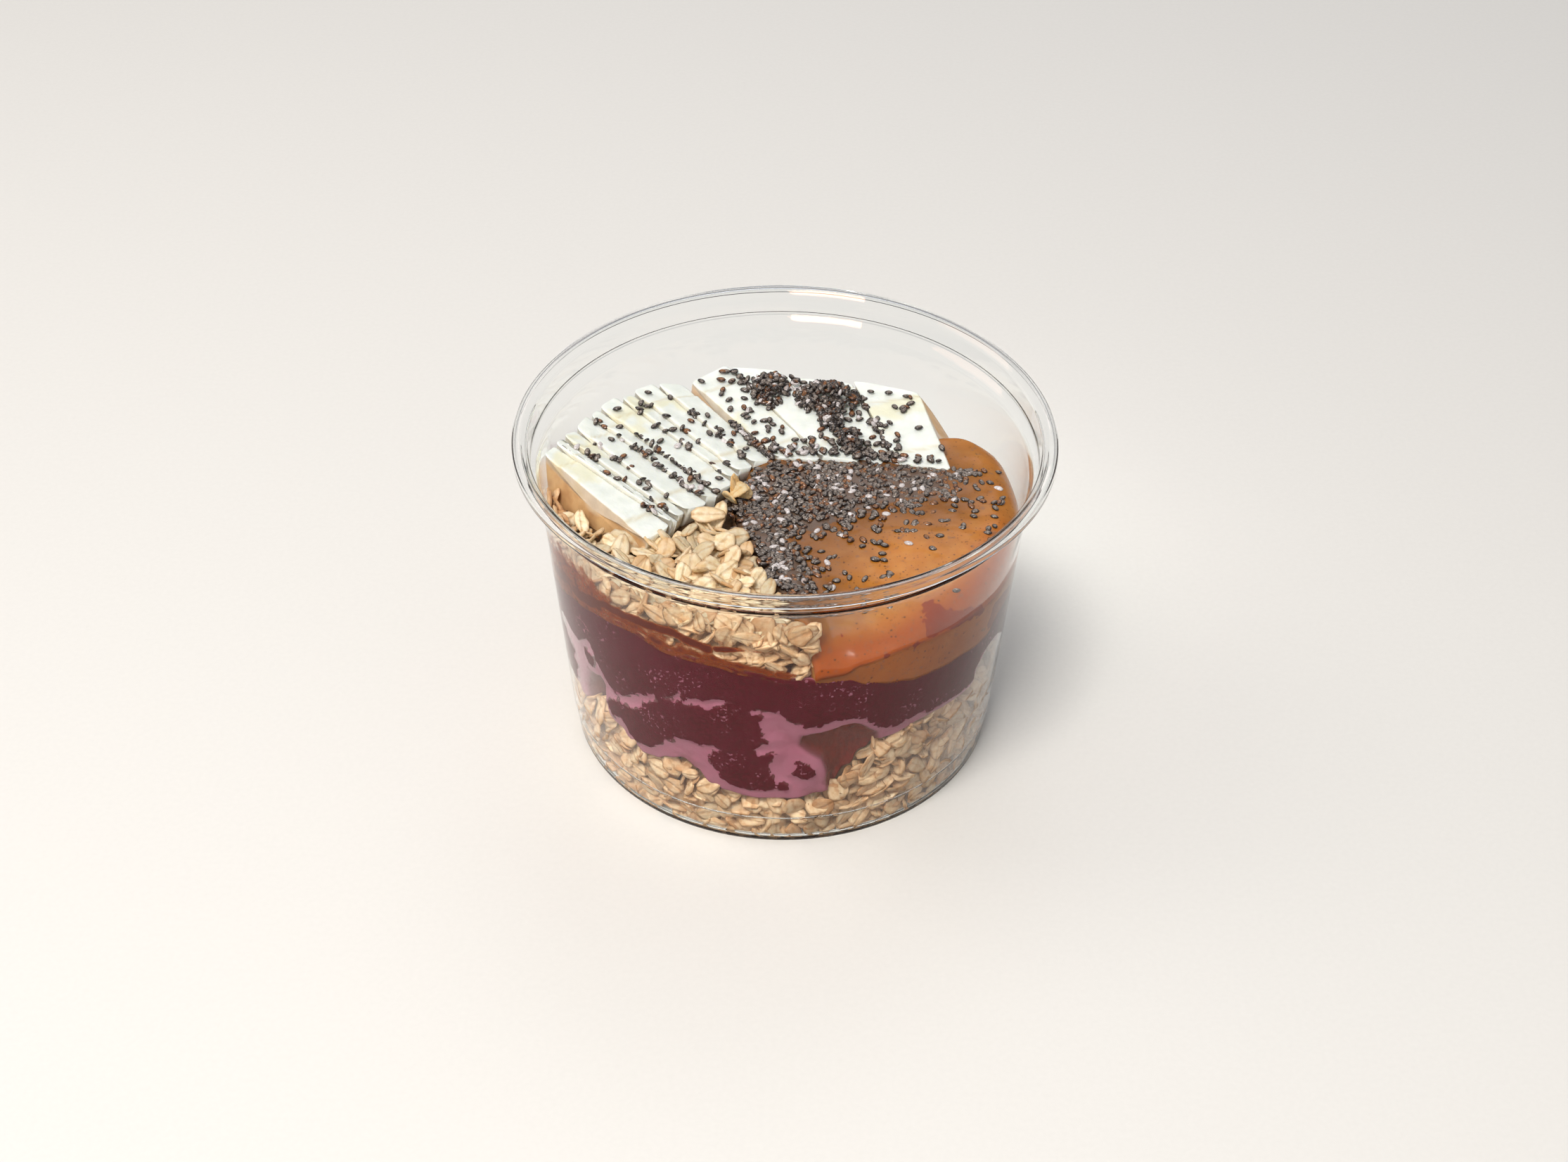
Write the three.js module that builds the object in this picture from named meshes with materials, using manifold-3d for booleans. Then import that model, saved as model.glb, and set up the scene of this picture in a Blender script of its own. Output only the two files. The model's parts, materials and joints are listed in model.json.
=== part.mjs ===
// Acai bowl: a clear plastic tub filled with rolled oats, acai, more oats and peanut butter,
// topped with half-moon banana slices and chia seeds.
// Millimetres, +Z up, origin at the middle of the tub's foot, front towards -Y, right towards +X.
// A bearing is an angle in degrees round the tub, 0 at the front and positive towards the right.

import * as THREE from 'three';
import { mergeVertices } from 'three/addons/utils/BufferGeometryUtils.js';
import Module from 'manifold-3d';

const wasm = await Module();
wasm.setup();

// Tub
const tubHeight = 77.9;
const rimRadius = 58.8; // outside of the rim's skirt
const wallThickness = 0.65;
const ledgeHeight = 70; // where the wall steps out to the rim
const ledgeRadius = 53.1; // inside of the wall at the ledge
const floorRadius = 46.9; // inside of the wall, carried down to the foot
const floorTop = 2.6;
const footWidth = 2.2; // flat ring that the tub stands on
const footRecess = 1.9; // height of the floor's underside over the foot
const waistHeight = 8; // faint step round the lower wall
const waistStep = 0.35;
const tubSegments = 52;

// Food
const clearance = 0.35; // gap between neighbouring pieces
const layerSegments = 36;
const layerRings = 4;
const layerRows = 4;
const flakeSize = { length: 6.8, width: 4.7, thickness: 1.5 };
const clusterFlakeSize = { length: 5.4, width: 4, thickness: 1.7 };
const flakeSpacing = 5.6; // between the middles of neighbouring flakes
const flakeSides = 6;
const seedSides = 5;
const coreInset = 1.4; // from the wall in to the core that the flakes lie on
const seedSize = { length: 1.9, width: 1.3, thickness: 1.1 };
const sliceDepth = 13; // flat face of a half-moon slice down to its round underside
const sliceLean = 2.5; // how far the underside leans out from the flat face
const sliceRoundness = 0.85; // under 1 makes the underside fuller than an ellipse
const lowerFlakes = 64;
const upperWallFlakes = 16;
const upperFlakes = 35;
const butterSeeds = 32;
const looseSeeds = 3; // on each slice
const pileSeeds = 8; // on each slice that the pile of seeds lies on
const pileReach = 0.4; // share of those slices' length, from the far end

// Heights against the wall, as [bearing, height], and on the tub's axis. A flatter surface stays
// near the middle height for longer before it rises or falls to the wall.
const lowerOats = {
  middle: 21,
  flatness: 2,
  atWall: [[-150, 25], [-75, 23], [-55, 26.5], [-45, 27.5], [-30, 24], [-15, 15.5],
    [0, 14.5], [12, 20], [28, 29], [52, 33], [90, 32], [150, 27]],
};
const acaiTop = {
  middle: 47,
  flatness: 6,
  atWall: [[-150, 55], [-75, 55.5], [-60, 56], [-45, 58.5], [-30, 57], [-15, 54], [0, 50.5],
    [15, 50], [30, 46], [60, 44], [78, 43.5], [110, 45.5], [150, 49.5]],
};
const toppingTop = {
  middle: 59.6,
  flatness: 2,
  atWall: [[-150, 58], [-100, 58], [-75, 59], [-45, 62], [-20, 63.5], [4, 62], [14, 57],
    [25, 57], [40, 59], [60, 61], [90, 61], [120, 60]],
};
// Height over the lower oats at which the acai leaves the wall and curves inwards
const acaiHollow = [[-115, 0], [-85, 7], [-62, 9], [-50, 2], [-44, 0], [0, 0], [8, 13], [15, 16],
  [25, 3.5], [32, 0.5], [50, 0], [57, 3], [66, 9.5], [90, 9.5], [112, 7], [135, 0]];
const hollowDepth = 0.55; // inward curve for each millimetre of that height

// Plan of the upper oats and the peanut butter: the edge they share, from back to front, and where
// each of them ends under the banana slices. The peanut butter's free end is a rounded lobe.
const oatEdge = [[-9.5, 4], [-11, -5], [-9.6, -13], [-5.4, -22], [-1.5, -33], [9, -56]];
const oatBack = [[-46, 8], [-32, 4], [-18, 6]];
const butterBack = [[51, 3], [45, 8], [38.5, 20], [20, 25], [0, 20]];
const lobe = { x: 38, y: 9.6, radius: 14.6, rounding: 5, top: 60.4, bottom: 38, segments: 24 };
const beyond = 70; // well outside the tub

// Banana slices share a cut with their neighbour. Each cut runs from its far to its near end, and
// its underside leans to the right by lean times sliceLean.
const leftFanCuts = [
  { far: [-51.9, 3.6, 66.3], near: [-30.6, -19.4, 63], lean: -1 },
  { far: [-50.6, 9.4, 66], near: [-24.3, -13.9, 62.5], lean: -1 },
  { far: [-49.4, 13.5, 65.5], near: [-22.6, -11.6, 62], lean: -1 },
  { far: [-47.4, 17.8, 65], near: [-20.8, -8.8, 61.5], lean: -1 },
  { far: [-44.6, 23.6, 64.4], near: [-17.2, -3.2, 61], lean: -1 },
  { far: [-42.6, 27.2, 64], near: [-14.6, -0.6, 60.8], lean: -1 },
  { far: [-39.0, 33.0, 63.6], near: [-11.6, 4.6, 60.6], lean: -1 },
  { far: [-35.8, 35.4, 63.2], near: [-10.0, 7.4, 60.5], lean: -1 },
  { far: [-30.2, 39.6, 62.4], near: [-7.0, 11.0, 60.4], lean: -1 },
  { far: [-24.6, 42.2, 61.6], near: [-2.9, 13.4, 60.2], lean: -1 },
];
const rightFanCuts = [
  { far: [-23.6, 43.0, 62.6], near: [-1.9, 13.9, 61], lean: -0.8 },
  { far: [-13.8, 49.3, 61.4], near: [8.2, 13.6, 60.6], lean: 0 },
  { far: [-1.5, 46.6, 61.4], near: [17.0, 12.0, 60.4], lean: 0.6 },
  { far: [15.4, 43.0, 61.6], near: [24.8, 11.8, 60.6], lean: 1.2 },
  { far: [30.6, 39.0, 61.4], near: [37.0, 9.6, 60.8], lean: 2.2 },
];
const leftFanStep = 0.5; // each flat face drops this far to its right-hand edge
const outlineSteps = 12;
const clusterSpot = [-10.2, -4.4, 62.2];

const materialOf = (colour, roughness, options = {}) =>
  new THREE.MeshStandardMaterial({ color: colour, roughness, metalness: 0, ...options });
const clearPlastic = materialOf(0xf2f7f8, 0.05, { transparent: true, opacity: 0.3 });
const oatFlake = materialOf(0xdcb985, 0.8);
const acaiPuree = materialOf(0x571c2b, 0.35);
const peanutButter = materialOf(0xc08a4b, 0.3);
const bananaFlesh = materialOf(0xe9e8d2, 0.5);

const seedRandom = (seed) => () => {
  seed = (seed * 1664525 + 1013904223) % 4294967296;
  return seed / 4294967296;
};
const mix = (a, b, t) => a + (b - a) * t;
const clamp01 = (t) => Math.min(1, Math.max(0, t));
const upright = new THREE.Vector3(0, 0, 1);
const ease = (t) => (1 - Math.cos(Math.PI * clamp01(t))) / 2;
const radians = THREE.MathUtils.degToRad;
const innerRadius = (z) => mix(floorRadius, ledgeRadius, z / ledgeHeight);
const onBearing = (bearing, radius, z) => new THREE.Vector3(
  radius * Math.sin(radians(bearing)), -radius * Math.cos(radians(bearing)), z);

// Smooth value round the tub through [bearing, value] points
function valueAt(points, bearing) {
  const wrapped = ((bearing - points[0][0]) % 360 + 360) % 360 + points[0][0];
  const closed = [...points, [points[0][0] + 360, points[0][1]]];
  const next = closed.findIndex(([angle]) => angle > wrapped);
  const [[fromAngle, from], [toAngle, to]] = [closed[next - 1], closed[next]];
  return mix(from, to, ease((wrapped - fromAngle) / (toAngle - fromAngle)));
}

function heightAt(surface, bearing, radius) {
  const outward = clamp01(radius / innerRadius(surface.middle));
  return mix(surface.middle, valueAt(surface.atWall, bearing), outward ** surface.flatness);
}

function solidOf(geometry) {
  const bare = geometry.clone();
  bare.deleteAttribute('normal');
  bare.deleteAttribute('uv');
  const merged = mergeVertices(bare, 1e-4);
  return new wasm.Manifold(new wasm.Mesh({
    numProp: 3,
    vertProperties: new Float32Array(merged.attributes.position.array),
    triVerts: new Uint32Array(merged.index.array),
  }));
}

// Largest body of a solid: scraps that a cut leaves loose are dropped
function geometryOf(solid) {
  const [body] = solid.decompose().sort((a, b) => b.volume() - a.volume());
  const { numProp, vertProperties, triVerts } = body.getMesh();
  const geometry = new THREE.BufferGeometry();
  const corners = vertProperties.length / numProp;
  const position = new Float32Array(corners * 3);
  for (let i = 0; i < corners; i += 1) {
    position.set(vertProperties.subarray(i * numProp, i * numProp + 3), i * 3);
  }
  geometry.setAttribute('position', new THREE.BufferAttribute(position, 3));
  geometry.setIndex([...triVerts]);
  return geometry;
}

const joined = (solids) => solids.reduce((whole, solid) => whole.add(solid));

function tubGeometry() {
  const wallOutside = (z) => innerRadius(z) + wallThickness;
  const footOuter = wallOutside(0) - 0.8;
  const rimInner = ledgeRadius + 2.2;
  const outside = [
    [0, footRecess], [footOuter - footWidth - 1, footRecess], [footOuter - footWidth, 0],
    [footOuter, 0], [wallOutside(0.8), 0.8],
    [wallOutside(waistHeight - 0.4), waistHeight - 0.4],
    [wallOutside(waistHeight) + waistStep, waistHeight],
    [wallOutside(ledgeHeight - 1) + waistStep, ledgeHeight - 0.6],
    [ledgeRadius + 1.9, ledgeHeight + 1.2], [rimInner + 0.6, tubHeight - 1.1],
    [rimInner + 1.1, tubHeight - wallThickness],
    [rimRadius - wallThickness - 0.7, tubHeight - wallThickness - 0.1],
    [rimRadius - wallThickness, tubHeight - 2.3], [rimRadius, tubHeight - 2.3],
  ];
  const inside = [
    [rimRadius - 0.2, tubHeight - 0.5], [rimRadius - 1.2, tubHeight],
    [rimInner + 0.9, tubHeight], [rimInner + 0.2, tubHeight - 0.3], [rimInner, tubHeight - 1],
    [ledgeRadius + 1.3, ledgeHeight + 1.2], [ledgeRadius + 0.9, ledgeHeight + 0.5],
    [ledgeRadius, ledgeHeight], [innerRadius(waistHeight + 0.3) + waistStep, waistHeight + 0.3],
    [innerRadius(waistHeight - 0.1), waistHeight - 0.1],
    [innerRadius(floorTop + 0.9), floorTop + 0.9], [innerRadius(floorTop) - 0.8, floorTop],
    [0, floorTop],
  ];
  const profile = [...outside, ...inside].map(([radius, z]) => new THREE.Vector2(radius, z));
  return new THREE.LatheGeometry(profile, tubSegments).rotateX(Math.PI / 2);
}

// Closed solid between two height surfaces, with side(bearing, z) as its outer radius
function layerGeometry({ top, bottom, side }) {
  const columns = [];
  for (let segment = 0; segment < layerSegments; segment += 1) {
    const bearing = 360 * segment / layerSegments;
    const topEdge = top(bearing, side(bearing, top(bearing, innerRadius(ledgeHeight))));
    const bottomEdge = bottom(bearing, side(bearing, bottom(bearing, innerRadius(0))));
    const column = [];
    for (let ring = 1; ring <= layerRings; ring += 1) {
      const radius = side(bearing, topEdge) * ring / layerRings;
      column.push(onBearing(bearing, radius, top(bearing, radius)));
    }
    for (let row = 1; row < layerRows; row += 1) {
      const z = mix(topEdge, bottomEdge, row / layerRows);
      column.push(onBearing(bearing, side(bearing, z), z));
    }
    for (let ring = layerRings; ring >= 1; ring -= 1) {
      const radius = side(bearing, bottomEdge) * ring / layerRings;
      column.push(onBearing(bearing, radius, bottom(bearing, radius)));
    }
    columns.push(column);
  }
  const position = columns.flat().flatMap((corner) => corner.toArray());
  const topPole = columns.flat().length;
  const bottomPole = topPole + 1;
  position.push(0, 0, top(0, 0), 0, 0, bottom(0, 0));
  const rows = columns[0].length;
  const index = [];
  for (let segment = 0; segment < layerSegments; segment += 1) {
    const here = segment * rows;
    const beside = ((segment + 1) % layerSegments) * rows;
    index.push(topPole, here, beside, bottomPole, beside + rows - 1, here + rows - 1);
    for (let row = 0; row < rows - 1; row += 1) {
      index.push(here + row, here + row + 1, beside + row + 1);
      index.push(here + row, beside + row + 1, beside + row);
    }
  }
  const geometry = new THREE.BufferGeometry();
  geometry.setAttribute('position', new THREE.Float32BufferAttribute(position, 3));
  geometry.setIndex(index);
  return geometry;
}

// One oat flake or seed: a squashed ball with few sides, joined to what it lies on
function pebble({ length, width, thickness }, sides, place) {
  const geometry = new THREE.SphereGeometry(0.5, sides, 3).rotateX(Math.PI / 2);
  return solidOf(geometry.scale(length, width, thickness).applyMatrix4(place));
}

function placeOf(point, normal, spin) {
  const turn = new THREE.Quaternion().setFromUnitVectors(new THREE.Vector3(0, 0, 1), normal);
  turn.multiply(new THREE.Quaternion().setFromAxisAngle(new THREE.Vector3(0, 0, 1), spin));
  return new THREE.Matrix4().compose(point, turn, new THREE.Vector3(1, 1, 1));
}

// Random points that keep their distance from each other
function spreadPoints({ count, spacing, draw, keep }) {
  const points = [];
  for (let attempt = 0; attempt < 60 * count && points.length < count; attempt += 1) {
    const point = draw();
    if (keep(point) && points.every((other) => other.distanceTo(point) > spacing)) {
      points.push(point);
    }
  }
  return points;
}

// Flakes lying flat against the wall, between two heights
function wallFlakes({ count, bearings, heights, lowest, highest, random }) {
  const reach = flakeSize.length / 2;
  const bearingOf = ({ x, y }) => THREE.MathUtils.radToDeg(Math.atan2(x, -y));
  const points = spreadPoints({
    count,
    spacing: flakeSpacing,
    draw: () => {
      const z = mix(...heights, random());
      const radius = innerRadius(z - reach) - clearance - flakeSize.thickness / 2;
      return onBearing(mix(...bearings, random()), radius, z);
    },
    keep: (point) => point.z - reach > lowest(bearingOf(point))
      && point.z + reach < highest(bearingOf(point)),
  });
  return points.map((point) => {
    const inward = onBearing(bearingOf(point), -1, 0);
    return pebble(flakeSize, flakeSides, placeOf(point, inward, Math.PI * random()));
  });
}

function lowerOatsSolid() {
  const random = seedRandom(11);
  const core = solidOf(layerGeometry({
    top: (bearing, radius) => heightAt(lowerOats, bearing, radius) - clearance,
    bottom: () => floorTop + clearance,
    side: (bearing, z) => innerRadius(Math.max(z, 0)) - coreInset,
  }));
  const flakes = wallFlakes({
    count: lowerFlakes,
    bearings: [0, 360],
    heights: [floorTop, 34],
    lowest: () => floorTop + clearance,
    highest: (bearing) => heightAt(lowerOats, bearing, floorRadius) - clearance,
    random,
  });
  return joined([core, ...flakes]);
}

function acaiSide(bearing, z) {
  const hollow = valueAt(acaiHollow, bearing);
  const leaves = heightAt(lowerOats, bearing, floorRadius) + hollow;
  const down = hollow > 0 ? clamp01((leaves - z) / hollow) : 0;
  return innerRadius(z) - clearance - hollow * hollowDepth * (1 - Math.sqrt(1 - down ** 2));
}

function acaiSolid() {
  return solidOf(layerGeometry({
    top: (bearing, radius) => heightAt(acaiTop, bearing, radius) - clearance,
    bottom: (bearing, radius) => heightAt(lowerOats, bearing, radius) + clearance,
    side: acaiSide,
  }));
}

// Everything between the acai and the top surface, before it is shared out
function toppingLayer(rise, inset) {
  return solidOf(layerGeometry({
    top: (bearing, radius) => heightAt(toppingTop, bearing, radius) + rise,
    bottom: (bearing, radius) => heightAt(acaiTop, bearing, radius) + clearance,
    side: (bearing, z) => innerRadius(z) - inset,
  }));
}

// Upright block with a plan outline, smooth as far as its point number smooth, then straight
function planCutter(points, smooth) {
  const outline = new THREE.Shape();
  const [first, ...rest] = points.map(([x, y]) => new THREE.Vector2(x, y));
  outline.moveTo(first.x, first.y);
  outline.splineThru(rest.slice(0, smooth));
  rest.slice(smooth).forEach((corner) => outline.lineTo(corner.x, corner.y));
  return solidOf(new THREE.ExtrudeGeometry(outline,
    { depth: tubHeight, bevelEnabled: false, curveSegments: 2 }));
}

// Half-moon outline in one cut: the flat edge on top, the round underside below
function halfMoon({ far, near, lean }, side, lift, grow) {
  const farEnd = new THREE.Vector3(...far);
  const nearEnd = new THREE.Vector3(...near);
  const middle = farEnd.clone().add(nearEnd).multiplyScalar(0.5);
  const half = nearEnd.clone().sub(farEnd).multiplyScalar(0.5);
  const across = new THREE.Vector3(-half.y, half.x, 0).normalize();
  const down = across.clone().multiplyScalar(lean * sliceLean / sliceDepth).setZ(-1);
  half.setLength(half.length() + grow);
  const outline = [];
  for (let step = 0; step <= outlineSteps; step += 1) {
    const turn = Math.PI * step / outlineSteps;
    const fall = (sliceDepth + grow) * Math.sin(turn) ** sliceRoundness;
    outline.push(middle.clone().addScaledVector(half, Math.cos(turn)).addScaledVector(down, fall));
  }
  const [nearTip, farTip] = [outline[0], outline[outlineSteps]];
  nearTip.z += lift;
  farTip.z += lift;
  if (grow > 0) {
    outline.push(farTip.clone().setZ(tubHeight), nearTip.clone().setZ(tubHeight));
  }
  return outline.map((corner) => corner.addScaledVector(across, side * (clearance / 2 - grow)));
}

// A slice between its two cuts. With grow it is the slice's own space: wider, and open upwards.
function sliceSolid({ left, right, step }, grow = 0) {
  const leftFace = halfMoon(left, 1, step, grow);
  const rightFace = halfMoon(right, -1, -step, grow);
  const corners = leftFace.length;
  const index = [];
  for (let i = 1; i < corners - 1; i += 1) {
    index.push(0, i + 1, i, corners, corners + i, corners + i + 1);
  }
  for (let i = 0; i < corners; i += 1) {
    const next = (i + 1) % corners;
    index.push(i, corners + next, corners + i, i, next, corners + next);
  }
  const position = [...leftFace, ...rightFace].flatMap((corner) => corner.toArray());
  const geometry = new THREE.BufferGeometry();
  geometry.setAttribute('position', new THREE.Float32BufferAttribute(position, 3));
  geometry.setIndex(index);
  return solidOf(geometry);
}

// Point on a slice's flat face: lengthwise from its far end, crosswise from its left cut
function onFace({ left, right, step }, lengthwise, crosswise) {
  const leftPoint = new THREE.Vector3(...left.far).lerp(new THREE.Vector3(...left.near), lengthwise);
  const rightPoint = new THREE.Vector3(...right.far)
    .lerp(new THREE.Vector3(...right.near), lengthwise);
  const breadth = leftPoint.distanceTo(rightPoint);
  const point = leftPoint.clone().lerp(rightPoint, crosswise);
  point.z += mix(step, -step, crosswise);
  return { point, breadth };
}

function seededSlice(slice, number) {
  const random = seedRandom(101 + number);
  const seeds = [];
  const addSeed = (from, to) => {
    const lengthwise = mix(from, to, random());
    const { breadth } = onFace(slice, lengthwise, 0.5);
    const margin = Math.min(0.5, (seedSize.length / 2 + clearance) / breadth);
    const { point } = onFace(slice, lengthwise, mix(margin, 1 - margin, random()));
    point.z += seedSize.thickness * 0.2;
    seeds.push(pebble(seedSize, seedSides, placeOf(point, upright, Math.PI * random())));
  };
  for (let i = 0; i < looseSeeds; i += 1) {
    addSeed(0.1, 0.95);
  }
  for (let i = 0; slice.piled && i < pileSeeds; i += 1) {
    addSeed(0.05, pileReach);
  }
  return joined([sliceSolid(slice), ...seeds]);
}

// Flakes lying about on the top surface, tilted, where keep(x, y) allows
function looseFlakes(count, random, keep) {
  const points = spreadPoints({
    count,
    spacing: flakeSpacing * 0.85,
    draw: () => {
      const bearing = 360 * random();
      const radius = (innerRadius(ledgeHeight) - flakeSize.length / 2 - 2) * Math.sqrt(random());
      return onBearing(bearing, radius, heightAt(toppingTop, bearing, radius));
    },
    keep: ({ x, y }) => keep(x, y),
  });
  return points.map((point) => {
    const tilt = new THREE.Vector3(mix(-0.5, 0.5, random()), mix(-0.5, 0.5, random()), 1);
    point.z += 0.3;
    return pebble(flakeSize, flakeSides, placeOf(point, tilt.normalize(), Math.PI * random()));
  });
}

// Where the edge between the oats and the peanut butter lies at a given y
function edgeAt(y) {
  const next = Math.max(1, oatEdge.findIndex(([, edgeY]) => edgeY <= y));
  const [[fromX, fromY], [toX, toY]] = [oatEdge[next - 1], oatEdge[next]];
  return mix(fromX, toX, clamp01((y - fromY) / (toY - fromY)));
}

function upperOatsSolid(nest) {
  const random = seedRandom(23);
  const plan = [...oatEdge.map(([x, y]) => [x - clearance, y]),
    [-beyond, -beyond], [-beyond, 14], ...oatBack];
  const share = planCutter(plan, oatEdge.length - 1);
  const core = toppingLayer(-0.5, coreInset).intersect(share);
  const flakes = [
    ...wallFlakes({
      count: upperWallFlakes,
      bearings: [-80, 4],
      heights: [52, 62],
      lowest: (bearing) => heightAt(acaiTop, bearing, ledgeRadius) + clearance,
      highest: (bearing) => heightAt(toppingTop, bearing, ledgeRadius) + 2,
      random,
    }),
    ...looseFlakes(upperFlakes, random, (x, y) => x < edgeAt(y) - 3.6 && y < -4),
  ];
  return joined([core, ...flakes]).subtract(nest);
}

function peanutButterSolid(nest) {
  const random = seedRandom(37);
  const plan = [...oatEdge, [beyond, -beyond], [beyond, 1], ...butterBack];
  const share = planCutter(plan, oatEdge.length - 1);
  const spread = toppingLayer(0, clearance).intersect(share);
  const rounding = [0, 30, 60, 90].map((turn) => new THREE.Vector2(
    lobe.radius - lobe.rounding * (1 - Math.cos(radians(turn))),
    lobe.top - lobe.rounding * (1 - Math.sin(radians(turn)))));
  const profile = [new THREE.Vector2(0, lobe.bottom), new THREE.Vector2(lobe.radius, lobe.bottom),
    ...rounding, new THREE.Vector2(0, lobe.top)];
  const disc = new THREE.LatheGeometry(profile, lobe.segments).rotateX(Math.PI / 2);
  const free = solidOf(disc.translate(lobe.x, lobe.y, 0)).intersect(toppingLayer(3, clearance));
  const points = spreadPoints({
    count: butterSeeds,
    spacing: 2.6,
    draw: () => {
      const y = mix(-34, 12, random());
      return new THREE.Vector3(mix(edgeAt(y), 36 + 0.5 * Math.min(0, y), random() ** 1.4), y, 0);
    },
    keep: ({ x, y }) => x > edgeAt(y) + 1.6,
  });
  const seeds = points.map((point) => {
    const bearing = THREE.MathUtils.radToDeg(Math.atan2(point.x, -point.y));
    point.z = heightAt(toppingTop, bearing, point.length()) + 0.2;
    return pebble(seedSize, seedSides, placeOf(point, upright, Math.PI * random()));
  });
  return joined([spread, free, ...seeds]).subtract(nest);
}

// Toasted clump of a few flakes that lies by itself beside the seeds
function clusterSolid(nest) {
  const random = seedRandom(5);
  const flakes = [0, 1, 2, 3].map((i) => {
    const point = onBearing(90 * i, 1.2, 0.2 * i).add(new THREE.Vector3(...clusterSpot));
    const tilt = new THREE.Vector3(mix(-0.6, 0.6, random()), mix(-0.6, 0.6, random()), 1);
    const place = placeOf(point, tilt.normalize(), Math.PI * random());
    return pebble(clusterFlakeSize, flakeSides, place);
  });
  return joined(flakes).subtract(nest);
}

const slicesOf = (cuts, step) => cuts.slice(1).map((right, i) => ({ left: cuts[i], right, step }));
const slices = [...slicesOf(leftFanCuts, leftFanStep), ...slicesOf(rightFanCuts, 0)];
slices.slice(-3, -1).forEach((slice) => {
  slice.piled = true;
});
const nest = joined(slices.map((slice) => sliceSolid(slice, 2 * clearance)));

function addTo(group, name, solid, material) {
  const mesh = new THREE.Mesh(geometryOf(solid), material);
  mesh.name = name;
  group.add(mesh);
}

const bowl = new THREE.Group();
const tub = new THREE.Mesh(tubGeometry(), clearPlastic);
tub.name = 'tub';
bowl.add(tub);
addTo(bowl, 'oats_bottom', lowerOatsSolid(), oatFlake);
addTo(bowl, 'acai', acaiSolid(), acaiPuree);
addTo(bowl, 'oats_top', upperOatsSolid(nest), oatFlake);
addTo(bowl, 'peanut_butter', peanutButterSolid(nest), peanutButter);
addTo(bowl, 'oat_cluster', clusterSolid(nest), oatFlake);
slices.forEach((slice, i) => {
  addTo(bowl, `banana_${String(i + 1).padStart(2, '0')}`, seededSlice(slice, i), bananaFlesh);
});

export default bowl;
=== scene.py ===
import json
import math
import random
from functools import partial
import bpy
import numpy as np
from mathutils import Matrix, Vector, noise

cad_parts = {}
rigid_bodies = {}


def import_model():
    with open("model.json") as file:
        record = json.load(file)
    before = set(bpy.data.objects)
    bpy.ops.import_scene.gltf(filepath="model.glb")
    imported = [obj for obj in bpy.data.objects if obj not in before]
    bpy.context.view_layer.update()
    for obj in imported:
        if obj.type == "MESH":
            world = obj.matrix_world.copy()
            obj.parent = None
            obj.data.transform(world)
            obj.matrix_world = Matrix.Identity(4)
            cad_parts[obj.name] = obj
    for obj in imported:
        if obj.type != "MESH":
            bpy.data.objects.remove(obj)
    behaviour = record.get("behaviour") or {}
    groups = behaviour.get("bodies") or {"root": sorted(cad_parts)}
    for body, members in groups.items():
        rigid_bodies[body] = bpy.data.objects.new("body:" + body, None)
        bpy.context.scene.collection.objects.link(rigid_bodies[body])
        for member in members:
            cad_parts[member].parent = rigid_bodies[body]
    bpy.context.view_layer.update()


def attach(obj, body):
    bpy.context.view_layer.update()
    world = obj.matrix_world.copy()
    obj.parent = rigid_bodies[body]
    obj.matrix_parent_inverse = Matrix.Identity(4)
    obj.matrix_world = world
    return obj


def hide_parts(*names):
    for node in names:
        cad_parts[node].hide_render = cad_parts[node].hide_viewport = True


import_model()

# Sizes are in millimetres, with +Z up and the front towards -Y, as the solids have them.
# A bearing is an angle in degrees round the tub, 0 at the front and positive towards +X.
mm = 0.001
farAway = 1e9    # more than any distance here
print("frame loaded")


def mix(a, b, t):
    return a + (b - a) * t


def eased(t):
    return (1 - np.cos(np.pi * np.clip(t, 0, 1))) / 2


# Smooth value round the tub through (bearing, value) points
def valueAt(points, bearing):
    angles = np.array([p[0] for p in points] + [points[0][0] + 360.0])
    values = np.array([p[1] for p in points] + [points[0][1]], float)
    wrapped = (np.asarray(bearing, float) - angles[0]) % 360 + angles[0]
    after = np.clip(np.searchsorted(angles, wrapped, side="right"), 1, len(angles) - 1)
    share = (wrapped - angles[after - 1]) / (angles[after] - angles[after - 1])
    return mix(values[after - 1], values[after], eased(share))


def onBearing(bearing, radius, z):
    turn, radius, z = np.broadcast_arrays(np.radians(bearing), radius, z)
    return np.stack([radius * np.sin(turn), -radius * np.cos(turn), z], axis=-1)


def bearingOf(x, y):
    return np.degrees(np.arctan2(x, -np.asarray(y, float)))


# Distance from points to the line between two ends
def lineDistance(x, y, ax, ay, bx, by):
    along = np.clip(((x - ax) * (bx - ax) + (y - ay) * (by - ay))
                    / ((bx - ax) ** 2 + (by - ay) ** 2 + 1e-12), 0, 1)
    return np.hypot(x - ax - along * (bx - ax), y - ay - along * (by - ay))


# Signed distance to a closed outline, positive inside
def insideBy(outline, x, y):
    corners = np.array(outline, float)
    x, y = np.asarray(x, float), np.asarray(y, float)
    nearest = np.full(x.shape, farAway)
    inside = np.zeros(x.shape, bool)
    for (ax, ay), (bx, by) in zip(corners, np.roll(corners, -1, axis=0)):
        nearest = np.minimum(nearest, lineDistance(x, y, ax, ay, bx, by))
        if ay != by:
            crosses = ((ay > y) != (by > y)) & (x < (bx - ax) * (y - ay) / (by - ay) + ax)
            inside ^= crosses
    return np.where(inside, nearest, -nearest)


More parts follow.
